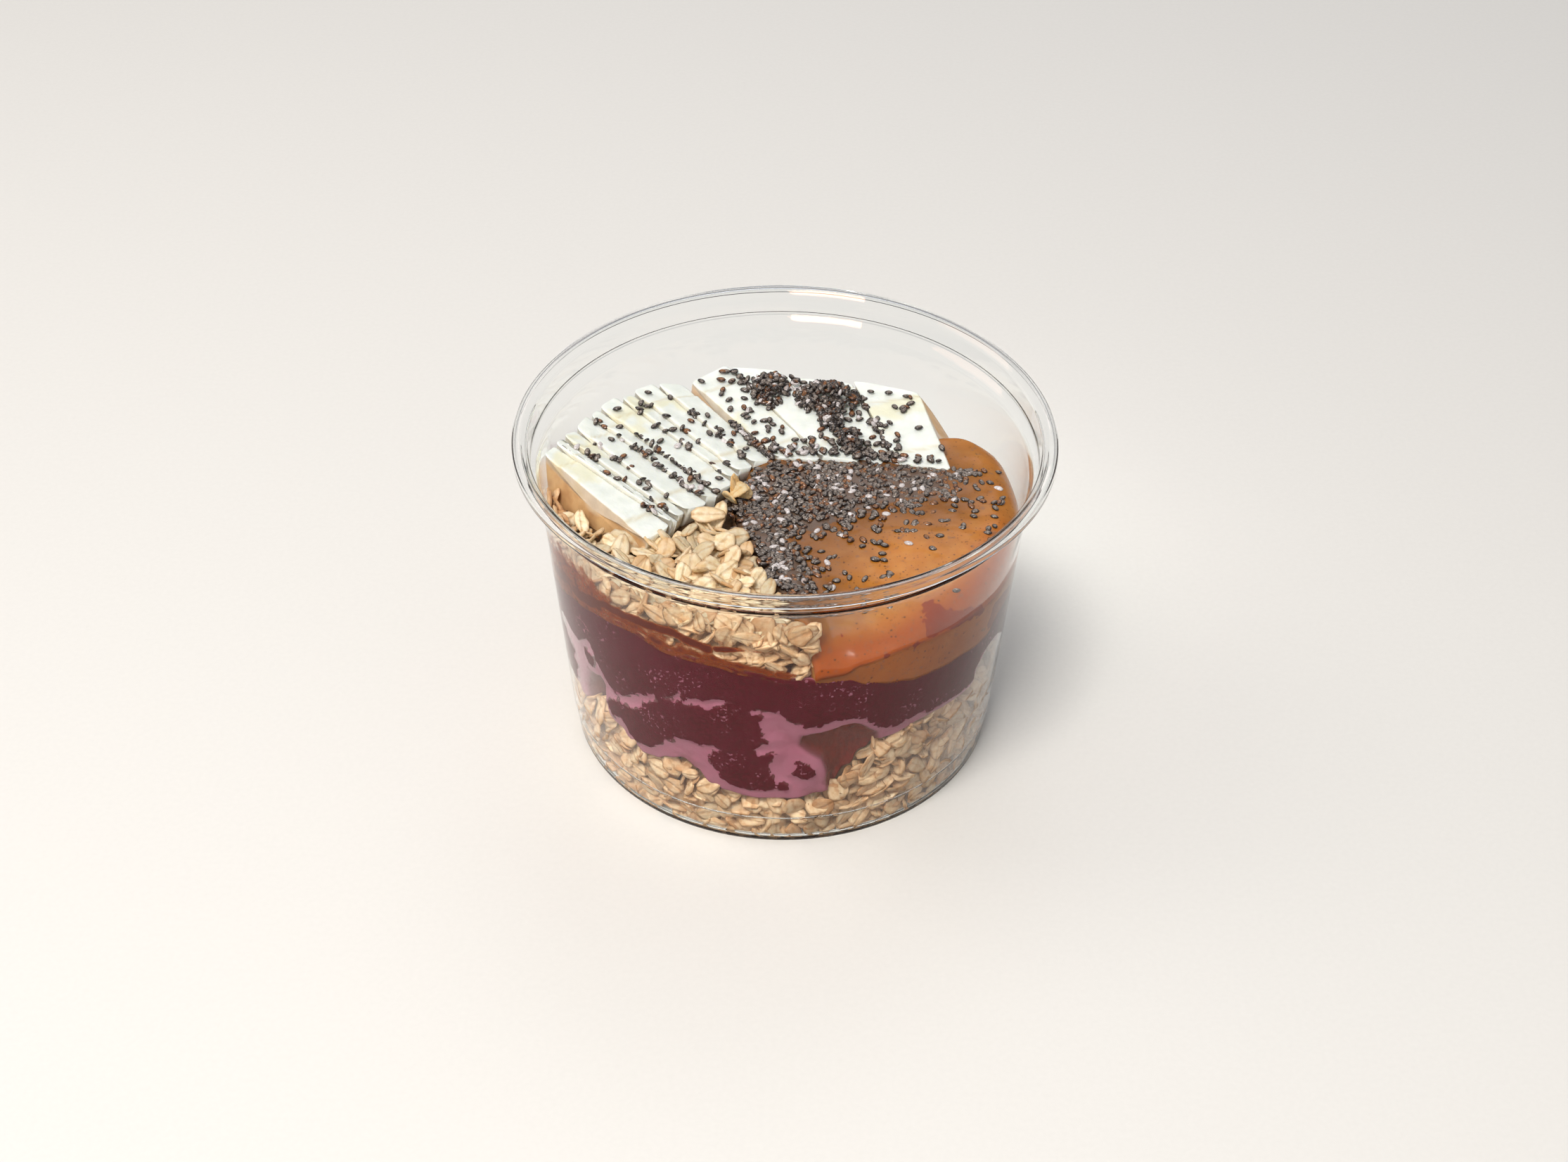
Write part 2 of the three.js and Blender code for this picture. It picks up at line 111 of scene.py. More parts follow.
# Soft noise from -1 to 1 at each point, with bumps of about the given size
def bumps(points, size, seed=0, octaves=2):
    shift = Vector((seed * 17.3, seed * 5.1, seed * 9.7))
    flat = np.asarray(points, float).reshape(-1, 3) / size
    values = [noise.fractal(Vector(p) + shift, 1.0, 2.0, octaves) for p in flat]
    return np.array(values).reshape(np.asarray(points).shape[:-1])


# Faces of a closed surface whose columns run round it and whose rows run between two poles
def closedFaces(columns, rows, flip=False):
    starts = np.arange(columns) * rows
    follows = np.roll(starts, -1)
    here, beside = (first[:, None] + np.arange(rows - 1) for first in (starts, follows))
    faces = np.stack([here, here + 1, beside + 1, beside], axis=-1).reshape(-1, 4).tolist()
    sides = list(zip(starts.tolist(), follows.tolist()))
    faces += [[columns * rows, a, b] for a, b in sides]
    faces += [[columns * rows + 1, b + rows - 1, a + rows - 1] for a, b in sides]
    return [face[::-1] for face in faces] if flip else faces


def makePiece(name, points, faces, material, attributes=None):
    mesh = bpy.data.meshes.new(name)
    mesh.from_pydata((np.asarray(points, float) * mm).tolist(), [], faces)
    for attribute, values in (attributes or {}).items():
        values = np.array(values, np.float32)
        kind, key = ("FLOAT_VECTOR", "vector") if values.shape[1:] == (3,) else ("FLOAT", "value")
        mesh.attributes.new(attribute, kind, "POINT").data.foreach_set(key, values.ravel())
    mesh.shade_smooth()
    if material:
        mesh.materials.append(material)
    piece = bpy.data.objects.new(name, mesh)
    bpy.context.scene.collection.objects.link(piece)
    return piece


def closedPiece(name, grid, poles, material, attributes=None, flip=False):
    columns, rows = grid.shape[:2]
    points = np.vstack([grid.reshape(-1, 3), np.asarray(poles, float)])
    filled = {attribute: np.append(values.ravel(), [values[0, 0], values[0, -1]])
              for attribute, values in (attributes or {}).items()}
    return makePiece(name, points, closedFaces(columns, rows, flip), material, filled)


def standsFor(piece, nodes):
    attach(piece, "root")
    if nodes:
        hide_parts(*nodes)


# Materials. A surface function gets "add", which adds a node to its material, "place", the object's
# own coordinates, and the piece's attributes. Of the numbered inputs, Map Range has the value at 0,
# its range at 1 and 2 and the new range at 3 and 4, and Mix the share at 0 and its colours at 6 and 7.

def hexColour(code):
    channels = [int(code[i:i + 2], 16) / 255 for i in (1, 3, 5)]
    linear = [c / 12.92 if c <= 0.04045 else ((c + 0.055) / 1.055) ** 2.4 for c in channels]
    return (*linear, 1)


# Adds a node with its inputs and settings, and hands back one of its outputs
def addNode(tree, kind, inputs=None, gives=0, **settings):
    node = tree.nodes.new(kind if "Node" in kind else f"ShaderNode{kind}")
    for setting, value in settings.items():
        setattr(node, setting, value)
    for socket, value in (inputs or {}).items():
        if isinstance(value, str) and value.startswith("#"):
            value = hexColour(value)
        if isinstance(value, bpy.types.NodeSocket):
            tree.links.new(value, node.inputs[socket])
        else:
            node.inputs[socket].default_value = value
    return node if gives is None else node.outputs[gives]


# Empties the nodes of a material or a world
def startNodes(owner):
    owner.use_nodes = True
    owner.node_tree.nodes.clear()
    return partial(addNode, owner.node_tree)


def makeMaterial(name, surfaceOf, attributes, *colours):
    material = bpy.data.materials.new(name)
    add = startNodes(material)
    read = [add("Attribute", gives=2, attribute_name=attribute) for attribute in attributes]
    surface = surfaceOf(add, add("TexCoord", gives=3), *read, *colours)
    add("OutputMaterial", {"Surface": surface}, None)
    return material


# Clear moulded polypropylene: thin and glossy, so the eye sees it by its edges and reflections.
# Light from the lamps goes straight through it to the food.
def clearPlasticSurface(add, place):
    flow = add("TexNoise", {"Vector": place, "Scale": 1 / (14 * mm), "Detail": 1})
    ripple = add("Bump", {"Height": flow, "Distance": 0.25 * mm, "Strength": 0.25})
    plastic = add("BsdfPrincipled", {
        "Base Color": "#fcfdfd", "Roughness": 0.012, "IOR": 1.49, "Transmission Weight": 1.0,
        "Specular Tint": "#b88c76", "Normal": ripple})
    through = add("BsdfTransparent", {"Color": "#f4f6f6"})
    lampRay = add("LightPath", gives=1)
    return add("MixShader", {0: lampRay, 1: plastic, 2: through})


# Rolled oats: dry, steamed and flattened, so cream and matt, with painted shade darkening the crease down
# the middle and browner edges; the toasted ones are golden
def oatSurface(add, place, tint, rim, across, pale, tan, toasted, shade=0.0):
    mottled, flour = (add("TexNoise", {"Vector": place, "Scale": 1 / (size * mm), "Detail": 3})
                      for size in (1.5, 0.5))
    mottle = add("MapRange", {0: mottled, 1: 0.36, 2: 0.66})
    darkened = add("MapRange", {0: tint, 1: 0.0, 2: 0.4, 3: 0.62, 4: 1.0})
    golden = add("MapRange", {0: tint, 1: 0.6, 2: 1.0, 4: 0.7})
    browned = add("MapRange", {0: rim, 1: 0.75, 2: 1.0, 4: 0.5})
    aside = add("Math", {0: across}, operation="ABSOLUTE")
    # the crease is grooved by the bump and darkened with painted shade, mottled
    crease = add("MapRange", {0: aside, 1: 0.02, 2: 0.1, 3: 1.0, 4: 0.0})
    creaseShadeMottle = add("MapRange", {0: mottle, 3: 0.1, 4: 0.6})
    paintedCreaseShade = add("Math", {0: crease, 1: creaseShadeMottle}, operation="MULTIPLY")
    body = add("Mix", {0: mottle, 6: pale, 7: tan}, 2, data_type="RGBA")
    body = add("Mix", {0: 1.0, 6: body, 7: darkened}, 2, data_type="RGBA", blend_type="MULTIPLY")
    layers = [(golden, toasted), (browned, toasted), (paintedCreaseShade, toasted)]
    # the body behind the flakes is darkened further with painted shade
    for share, over in layers + [(shade, "#3c2615")] * (shade > 0):
        body = add("Mix", {0: share, 6: body, 7: over}, 2, data_type="RGBA")
    grooved = add("Math", {0: crease, 1: -0.9}, operation="MULTIPLY")
    height = add("Math", {0: flour, 1: grooved}, operation="ADD")
    relief = add("Bump", {"Height": height, "Distance": 0.16 * mm, "Strength": 0.9})
    return add("BsdfPrincipled", {
        "Base Color": body, "Roughness": 0.55, "IOR": 1.45, "Subsurface Weight": 0.1,
        "Subsurface Radius": (1.0, 0.55, 0.3), "Subsurface Scale": 0.7 * mm, "Normal": relief})


# Acai puree: a smooth frozen blend. Against the plastic it is wet, dark and without a shine;
# where it has come away from the wall its frosty skin is a pale mauve, darkened with painted shade the
# further it sags back, and in the deep hollows it turns a syrupy brown, darker still with painted shade.
def acaiSurface(add, place, touch, sink):
    torn, grain, cloud, flecks, swirl = (
        add("TexNoise", {"Vector": place, "Scale": 1 / (size * mm), "Detail": detail})
        for size, detail in ((1.7, 5), (0.8, 3), (9, 2), (0.75, 2), (7, 2)))
    grainy = add("MapRange", {0: grain, 1: 0.35, 2: 0.68})
    cloudy = add("MapRange", {0: cloud, 1: 0.35, 2: 0.7, 4: 0.55})
    bubble = add("MapRange", {0: flecks, 1: 0.6, 2: 0.66, 4: 0.85})
    drift = add("MapRange", {0: swirl, 1: 0.5, 2: 0.64})
    # tiny torn air bubbles against the wall, in drifts
    bubbles = add("Math", {0: bubble, 1: drift}, operation="MULTIPLY")
    wet = "#4c0415"
    for share, over in ((grainy, "#5f0b22"), (cloudy, "#5e1229"), (bubbles, "#b06a80")):
        wet = add("Mix", {0: share, 6: wet, 7: over}, 2, data_type="RGBA")
    syrupAndHollowShade = add("Mix", {0: grainy, 6: "#5e0906", 7: "#74160f"}, 2, data_type="RGBA")
    # painted shade: darker the further the puree sags from the wall, syrupy brown in the deep hollows
    darkened, deep = (add("MapRange", {0: sink, 1: least, 2: most}, interpolation_type="SMOOTHSTEP")
                  for least, most in ((0.6, 1.8), (1.5, 3.2)))
    tear = add("MapRange", {0: torn, 1: 0.25, 2: 0.75, 3: -1.1, 4: 1.1})
    tornTouch = add("Math", {0: touch, 1: tear}, operation="ADD")
    touching = add("MapRange", {0: tornTouch, 1: -0.1, 2: 0.1})
    colour = "#a9657a"
    for share, over in ((cloudy, "#934b61"), (darkened, "#70303a"), (deep, syrupAndHollowShade), (touching, wet)):
        colour = add("Mix", {0: share, 6: colour, 7: over}, 2, data_type="RGBA")
    relief = add("Bump", {"Height": torn, "Distance": 0.3 * mm, "Strength": 0.6})
    gloss = add("MapRange", {0: sink, 1: 1.0, 2: 2.5, 3: 0.5, 4: 0.16})
    return add("BsdfPrincipled", {
        "Base Color": colour, "Roughness": gloss, "IOR": 1.37, "Specular IOR Level": 0.12,
        "Subsurface Weight": 0.1, "Subsurface Radius": (1.0, 0.2, 0.3),
        "Subsurface Scale": 1.2 * mm, "Normal": relief})


# Melted acai smeared on the wall: a thin red-brown film that the oats show through
def meltSurface(add, place, smeared):
    patches = add("TexNoise", {"Vector": place, "Scale": 1 / (2.6 * mm), "Detail": 4})
    patchy = add("MapRange", {0: patches, 1: 0.28, 2: 0.72, 3: -0.4, 4: 0.4})
    uneven = add("Math", {0: smeared, 1: patchy}, operation="ADD")
    share = add("MapRange", {0: uneven, 1: 0.1, 2: 0.82, 4: 0.95}, interpolation_type="SMOOTHSTEP")
    thick = add("MapRange", {0: uneven, 1: 0.45, 2: 1.0})
    colour = add("Mix", {0: thick, 6: "#a04a16", 7: "#5e1806"}, 2, data_type="RGBA")
    film = add("BsdfPrincipled", {
        "Base Color": colour, "Roughness": 0.3, "IOR": 1.37, "Specular IOR Level": 0.2})
    clear = add("BsdfTransparent", {"Color": "#ffffff"})
    return add("MixShader", {0: share, 1: clear, 2: film})


# Runny peanut butter: a smooth, glossy caramel with specks of ground skin. Among the seeds it is
# grey with the gel that wet seeds give off, and it is darker where it touches the wall and, as painted
# shade, on its shoulder near the wall.
def butterSurface(add, place, seeded, contactAndShade, stain):
    broad, swirl, blotches = (
        add("TexNoise", {"Vector": place, "Scale": 1 / (size * mm), "Detail": detail})
        for size, detail in ((15, 2), (3, 3), (1.8, 4)))
    broadly = add("MapRange", {0: broad, 1: 0.35, 2: 0.65})
    swirled = add("MapRange", {0: swirl, 1: 0.42, 2: 0.7, 4: 0.35})
    soaked = add("MapRange", {0: seeded, 1: -16.0, 2: -4.0, 4: 0.85})
    # darker where it touches the wall, and painted shade on the shoulder near it
    pressedAndShaded = add("MapRange", {0: contactAndShade, 1: 0.1, 2: 1.0, 4: 0.95})
    layers = [(broadly, "#a26422"), (swirled, "#c2863b"), (soaked, "#7a4a18"), (pressedAndShaded, "#9c4406")]
    for size, colour, reach in ((1.5, "#4c2a12", 0.17), (0.8, "#6f421c", 0.22)):
        cells = add("TexVoronoi", {"Vector": place, "Scale": 1 / (size * mm)}, None)
        chosen = add("MapRange", {0: cells.outputs["Color"], 1: 0.5, 2: 0.62})
        dot = add("MapRange", {
            0: cells.outputs["Distance"], 1: reach * 0.7, 2: reach * 1.3, 3: 0.75, 4: 0.0})
        layers.append((add("Math", {0: dot, 1: chosen}, operation="MULTIPLY"), colour))
    blotch = add("MapRange", {0: blotches, 1: 0.3, 2: 0.7, 3: -0.45, 4: 0.45})
    gel = add("MapRange", {0: seeded, 1: -2.5, 2: 2.5})
    gelled, smeared = (add("Math", {0: value, 1: blotch}, operation="ADD") for value in (gel, stain))
    layers.append((add("MapRange", {0: gelled, 1: 0.25, 2: 0.75, 4: 0.92}), "#625146"))
    # acai smears, and on the right a patch of painted shade
    layers.append((add("MapRange", {0: smeared, 1: 0.5, 2: 0.62, 4: 0.82}), "#7a1c04"))
    body = "#b97327"
    for share, over in layers:
        body = add("Mix", {0: share, 6: body, 7: over}, 2, data_type="RGBA")
    relief = add("Bump", {"Height": swirl, "Distance": 0.15 * mm, "Strength": 0.5})
    return add("BsdfPrincipled", {
        "Base Color": body, "Roughness": 0.26, "IOR": 1.47, "Specular IOR Level": 0.3,
        "Subsurface Weight": 0.2, "Subsurface Radius": (1.0, 0.5, 0.2),
        "Subsurface Scale": 1.6 * mm, "Normal": relief})


# Banana flesh: moist, cool white and slightly see-through, creamier at the core, and ochre on the
# crosswise cuts and the round underside: browned where the air has reached, and darkened further as
# painted shade
def bananaSurface(add, place, core, ring, cut):
    soft = add("TexNoise", {"Vector": place, "Scale": 1 / (3.5 * mm), "Detail": 3})
    softly = add("MapRange", {0: soft, 1: 0.3, 2: 0.7})
    creamy = add("MapRange", {0: core, 1: 0.2, 2: 0.8, 4: 0.5})
    ringed = add("MapRange", {0: ring, 4: 0.45})
    browningAndShade = add("MapRange", {0: cut, 1: 0.15, 2: 0.9, 4: 0.9})
    browned = add("Mix", {0: softly, 6: "#cfa163", 7: "#b27d3e"}, 2, data_type="RGBA")
    flesh = "#eff2eb"
    for share, over in ((softly, "#e2e6de"), (creamy, "#e4dcae"), (ringed, "#cdb987"),
                        (browningAndShade, browned)):
        flesh = add("Mix", {0: share, 6: flesh, 7: over}, 2, data_type="RGBA")
    fibre = add("Mapping", {"Vector": place, "Scale": (1, 1, 0.35)})
    fine = add("TexNoise", {"Vector": fibre, "Scale": 1 / (0.7 * mm), "Detail": 4})
    relief = add("Bump", {"Height": fine, "Distance": 0.12 * mm, "Strength": 0.6})
    return add("BsdfPrincipled", {
        "Base Color": flesh, "Roughness": 0.42, "IOR": 1.4, "Subsurface Weight": 0.25,
        "Subsurface Radius": (1.0, 0.85, 0.55), "Subsurface Scale": 1.2 * mm, "Normal": relief})


# Chia seeds: hard and glossy, dark grey-brown with marbling that shows pale only on the crown, as a
# painted highlight; a few are brown and a few are white
def chiaSurface(add, place, tint, crown):
    vein = add("TexNoise", {
        "Vector": place, "Scale": 1 / (0.45 * mm), "Detail": 3, "Distortion": 1.4})
    veined = add("MapRange", {0: vein, 1: 0.34, 2: 0.6})
    crownHighlight = add("MapRange", {0: crown, 1: 0.1, 2: 0.55})
    marbledHighlight = add("Math", {0: veined, 1: crownHighlight}, operation="MULTIPLY")
    colour, brown, white = (
        add("Mix", {0: share, 6: dark, 7: light}, 2, data_type="RGBA")
        for share, dark, light in ((marbledHighlight, "#241a17", "#94867b"), (marbledHighlight, "#3a1f12", "#a06c42"),
                                   (veined, "#e4dfdf", "#b9aeab")))
    for least, most, over in ((0.74, 0.75, brown), (0.92, 0.925, white)):
        chosen = add("MapRange", {0: tint, 1: least, 2: most})
        colour = add("Mix", {0: chosen, 6: colour, 7: over}, 2, data_type="RGBA")
    relief = add("Bump", {"Height": vein, "Distance": 0.05 * mm, "Strength": 0.5})
    return add("BsdfPrincipled", {
        "Base Color": colour, "Roughness": 0.26, "IOR": 1.48, "Coat Weight": 0.4,
        "Coat Roughness": 0.1, "Normal": relief})


clearPlastic = makeMaterial("mouldedClearPolypropylene", clearPlasticSurface, ())
oatFlake, oatOpenPaintedLight, oatPaintedShade, oatToastedPaintedLight = (
    makeMaterial(name, oatSurface, ("tint", "rim", "across"), *look) for name, *look in (
        ("rolledOatFlake", "#efd1a9", "#d9ab7c", "#a56e3d"),
        # a paler copy of the same oats: painted light for the flakes that lie open on top
        ("openOatFlake", "#fcedcd", "#ecd1a2", "#b27f48"),
        # darker copy, darkened further: painted shade for the body behind the flakes
        ("rolledOatShade", "#b98d58", "#94683a", "#6b4524", 0.7),
        # golden like toasted oats, and paler still: painted light on the clump
        ("toastedOatCluster", "#ffe9bb", "#f6cf90", "#cf9a56")))
acaiPuree = makeMaterial("blendedAcaiPuree", acaiSurface, ("touch", "sink"))
acaiMelt = makeMaterial("meltedAcaiFilm", meltSurface, ("smeared",))
peanutButter = makeMaterial("smoothPeanutButter", butterSurface, ("seeded", "contactAndShade", "stain"))
bananaFlesh = makeMaterial("freshCutBanana", bananaSurface, ("core", "ring", "cut"))
chiaCoat = makeMaterial("marbledChiaSeed", chiaSurface, ("tint", "crown"))
print("materials made")


# The tub
tub = {
    "height": 77.9, "rimRadius": 58.8, "wall": 0.65, "ledgeHeight": 70, "ledgeRadius": 53.1,
    "floorRadius": 46.9, "floorTop": 1.0, "footWidth": 2.2, "footRecess": 0.4, "bead": 0.28,
    "waistHeight": 8, "waistStep": 0.35, "ledgeSlope": (1.8, 1.75), "rimSlope": (1.5, 1.5),
    "segments": 208, "roundingSteps": 6, "longestStep": 3.0,
}


# Inside of the wall: it tapers, and steps out a little at the waist
def innerRadius(z):
    taper = mix(tub["floorRadius"], tub["ledgeRadius"], z / tub["ledgeHeight"])
    toLedge = (tub["ledgeHeight"] - z) / (tub["ledgeHeight"] - tub["waistHeight"])
    return taper + tub["waistStep"] * np.clip(toLedge, 0, 1) * (z > tub["waistHeight"] + 0.2)


# Profile through (radius, height, rounding) corners, with long stretches divided
def roundedProfile(corners):
    corners = np.array(corners, float)
    points = [corners[0, :2]]
    for before, corner, after in zip(corners, corners[1:], corners[2:]):
        middle = corner[:2]
        sides = [before[:2] - middle, after[:2] - middle]
        lengths = [np.linalg.norm(side) for side in sides]
        reach = min(corner[2], lengths[0] * 0.48, lengths[1] * 0.48)
        start, end = (middle + side / length * reach for side, length in zip(sides, lengths))
        for t in np.linspace(0, 1, tub["roundingSteps"] + 1):
            points.append((1 - t) ** 2 * start + 2 * t * (1 - t) * middle + t ** 2 * end)
    points.append(corners[-1, :2])
    divided = [points[0]]
    for here, there in zip(points, points[1:]):
        parts = max(1, math.ceil(np.linalg.norm(there - here) / tub["longestStep"]))
        divided += [mix(here, there, part / parts) for part in range(1, parts + 1)]
    return np.array(divided)


def makeTub():
    wall, height, ledge = tub["wall"], tub["height"], tub["ledgeHeight"]
    ledgeRadius, rim, waist = tub["ledgeRadius"], tub["rimRadius"], tub["waistHeight"]
    outer = lambda z: innerRadius(z) + wall
    foot, rimInner = outer(0) - 0.8, ledgeRadius + 2.2    # where they stand in from their walls
    (ledgeOut, ledgeUp), (rimOut, rimUp) = tub["ledgeSlope"], tub["rimSlope"]
    bead, upper = tub["bead"], (ledgeRadius + ledgeOut + 0.6, ledge + ledgeUp)
    # corners as (radius, height, rounding), from the middle of the floor up to the rim
    inside = [
        (0.6, tub["floorTop"], 0), (innerRadius(1) - 1.2, tub["floorTop"], 0.5),
        (innerRadius(2.2), 2.2, 0.9), (innerRadius(waist - 0.1), waist - 0.1, 0.2),
        (innerRadius(waist + 0.3), waist + 0.3, 0.2), (ledgeRadius, ledge, 1.1),
        (ledgeRadius + ledgeOut, ledge + ledgeUp, 0.12), (rimInner, height - rimUp, 0.5),
        (rimInner + rimOut, height, 0.5), (rim - 0.9, height, 0.7), (rim, height - 0.9, 0.6),
    ]
    # and from the rim down to the middle of the foot
    outside = [
        (rim, height - 2.3, 0.15), (rim - wall, height - 2.3, 0.15),
        (rim - wall - 0.15, height - 1.1, 0.3), (rim - wall - 0.5, height - wall - 0.05, 0.2),
        (rimInner + rimOut + 0.25, height - wall, 0.3), (rimInner + 0.65, height - rimUp - 0.3, 0.5),
        (upper[0], upper[1] + 0.5, 0.1), (upper[0] + bead, upper[1] + 0.3, 0.2),
        (upper[0] + bead, upper[1] - 0.3, 0.2), (upper[0] - 0.1, upper[1] - 0.45, 0.1),
        (ledgeRadius + 0.72, ledge - 0.25, 1.1),
        (outer(ledge - 3), ledge - 3, 0.6), (outer(waist) + tub["waistStep"], waist, 0.2),
        (outer(waist - 0.4), waist - 0.4, 0.2), (outer(0.9), 0.9, 0.7), (foot, 0, 0.3),
        (foot - tub["footWidth"], 0, 0.3), (foot - tub["footWidth"] - 1, tub["footRecess"], 0.5),
        (0.6, tub["footRecess"], 0),
    ]
    profile = roundedProfile(inside + outside)
    bearings = np.arange(tub["segments"]) * 360 / tub["segments"]
    grid = onBearing(bearings[:, None], profile[None, :, 0], profile[None, :, 1])
    poles = [(0, 0, tub["floorTop"]), (0, 0, tub["footRecess"])]
    return closedPiece("clearTub", grid, poles, clearPlastic)


standsFor(makeTub(), ["tub"])
print("tub made")


# Places a random one of the shapes at each point: Z along "facing", turned by "spin"
def scatterTree():
    tree = bpy.data.node_groups.new("scatterShapes", "GeometryNodeTree")
    add = partial(addNode, tree)
    sockets = [("Points", "Geometry"), ("Shapes", "Collection"), ("Shape Count", "Int"),
               ("Length", "Float"), ("Width", "Float"), ("Thickness", "Float"),
               ("Unevenness", "Float"), ("Seed", "Int"), ("Finish", "Material")]
    for label, kind in sockets:
        tree.interface.new_socket(label, in_out="INPUT", socket_type=f"NodeSocket{kind}")
    tree.interface.new_socket("Scattered", in_out="OUTPUT", socket_type="NodeSocketGeometry")
    given = add("NodeGroupInput", gives=None).outputs
    facing, spin, scale = (
        add("GeometryNodeInputNamedAttribute", {"Name": name}, data_type=kind)
        for name, kind in (("facing", "FLOAT_VECTOR"), ("spin", "FLOAT"), ("size", "FLOAT")))
    aligned = add("FunctionNodeAlignRotationToVector", {"Vector": facing}, axis="Z")
    turned = add("FunctionNodeAxisAngleToRotation", {"Axis": (0, 0, 1), "Angle": spin})
    rotation = add("FunctionNodeRotateRotation", {"Rotation": aligned, "Rotate By": turned},
                   rotation_space="LOCAL")
    least, most = (add("Math", {0: 1.0, 1: given["Unevenness"]}, operation=operation)
                   for operation in ("SUBTRACT", "ADD"))
    uneven = add("FunctionNodeRandomValue", {0: least, 1: most, "Seed": given["Seed"]},
                 data_type="FLOAT_VECTOR")
    size = add("CombineXYZ", {
        "X": given["Length"], "Y": given["Width"], "Z": given["Thickness"]})
    varied = add("VectorMath", {0: size, 1: uneven}, operation="MULTIPLY")
    scaled = add("VectorMath", {0: varied, "Scale": scale}, operation="SCALE")
    last = add("Math", {0: given["Shape Count"], 1: 1.0}, operation="SUBTRACT")
    pick = add("FunctionNodeRandomValue", {5: last, "Seed": given["Seed"]}, 2, data_type="INT")
    shapes = add("GeometryNodeCollectionInfo", {
        "Collection": given["Shapes"], "Separate Children": True, "Reset Children": True})
    placed = add("GeometryNodeInstanceOnPoints", {
        "Points": given["Points"], "Instance": shapes, "Pick Instance": True,
        "Instance Index": pick, "Rotation": rotation, "Scale": scaled})
    nextSeed = add("Math", {0: given["Seed"], 1: 1.0}, operation="ADD")
    tone = add("FunctionNodeRandomValue", {"Seed": nextSeed}, 1, data_type="FLOAT")
    toned = add("GeometryNodeStoreNamedAttribute", {
        "Geometry": placed, "Name": "tint", "Value": tone}, data_type="FLOAT", domain="INSTANCE")
    real = add("GeometryNodeRealizeInstances", {"Geometry": toned})
    finished = add("GeometryNodeSetMaterial", {"Geometry": real, "Material": given["Finish"]})
    add("NodeGroupOutput", {"Scattered": finished}, gives=None)
    return tree


scatter = scatterTree()


def shapeCollection(name, shapes):
    group = bpy.data.collections.new(name)
    for shape in shapes:
        bpy.context.scene.collection.objects.unlink(shape)
        group.objects.link(shape)
    return group


# spots are (point, facing, spin, size); keepIn moves the corners that would leave their room
def scattered(name, spots, shapes, settings, material, keepIn=None):
    points, facing, spin, size = zip(*spots)
    host = makePiece(name, points, [], None, {"facing": facing, "spin": spin, "size": size})
    nodes = host.modifiers.new("scatter", "NODES")
    nodes.node_group = scatter
    values = {side: settings[side.lower()] * mm for side in ("Length", "Width", "Thickness")}
    values |= {"Shapes": shapes, "Shape Count": len(shapes.objects), "Finish": material,
               "Unevenness": settings["unevenness"], "Seed": settings["seed"]}
    for item in scatter.interface.items_tree:
        if item.name in values:
            nodes[item.identifier] = values[item.name]
    evaluated = host.evaluated_get(bpy.context.evaluated_depsgraph_get())
    mesh = bpy.data.meshes.new_from_object(evaluated)
    host.modifiers.clear()
    mesh.name = name
    host.data = mesh
    corners = np.zeros(len(mesh.vertices) * 3)
    mesh.vertices.foreach_get("co", corners)
    corners = corners.reshape(-1, 3) / mm
    if keepIn:
        corners = keepIn(corners)
    mesh.vertices.foreach_set("co", (corners * mm).ravel())
    mesh.shade_smooth()
    mesh.update()
    return host


def unit(vector):
    return vector / np.linalg.norm(vector)


# The oats
oats = {
    # seeds of the random draws, and how often a place for a flake is tried
    "shapeSeed": 4, "lowerSeed": 11, "upperSeed": 23,
    "lowerTries": 9000, "upperTries": 3500, "openTries": 1600,
    "sides": 11, "variants": 7, "intoWall": 0.06, "coreInset": 4.2, "middleHeight": 21,
    "flake": {"length": 6.8, "width": 4.5, "thickness": 0.8, "unevenness": 0.2, "seed": 3},
    # layers of flakes behind the wall: depth, spacing and share that lies flat on it
    "wallLayers": [(0.5, 3.6, 0.45), (1.6, 3.2, 0.25), (2.8, 3.2, 0.1)],
    # layers of flakes that lie open on top: depth and spacing
    "topLayers": [(2.5, 2.8), (1.2, 2.8), (0.0, 3.2)],
    # the toasted clump, and single large flakes: place, facing, spin and size
    "clump": {"place": (-10.8, -2.4, 62.3), "flakes": 6, "spread": 1.7, "size": 0.85},
    "large": [((-16.3, -11.2, 62.6), (0.1, -0.25, 1.0), 0.1, 1.12),
              ((-34.6, -18.2, 60.6), (0.1, -0.3, 1.0), -0.35, 1.45)],
}
lowerOatTop = [
    (-180, 26), (-150, 25.5), (-120, 24), (-85, 22), (-75, 22), (-63, 22.5), (-50, 25), (-45, 23),
    (-38, 19.5), (-30, 21), (-22, 19.5), (-15, 15.2), (0, 14.6), (9, 13.2), (12, 14.6), (15, 17),
    (18, 20.2), (22.5, 24.8), (26, 29.6), (40, 31.5), (56, 31), (66, 30), (90, 31), (130, 28.5),
]
acaiTopEdge = [
    (-180, 50), (-150, 54), (-110, 51), (-80, 48), (-68, 50.5), (-57, 53.5), (-46, 55.5), (-37, 56.5),
    (-27, 54.6), (-16, 54.6), (-8, 53.2), (2, 51.3), (10, 50.2), (15, 50.2), (20, 47.9), (28, 46),
    (33, 44.8), (45, 44.2), (58, 43), (66, 46), (85, 44.5), (110, 45.5), (150, 49),
]
toppingTop = [
    (-180, 54), (-150, 58), (-100, 58), (-75, 59), (-45, 62), (-20, 63.5), (4, 62), (14, 57), (25, 57),
    (40, 59), (60, 61), (90, 61), (120, 60),
]
toppingMiddle, toppingWall = 59.6, 58
# Plan of the line between the upper oats and the peanut butter
oatEdge = [(-9.5, 4), (-11, -5), (-9.6, -13), (-5.4, -22), (-1.5, -33), (9, -56)]


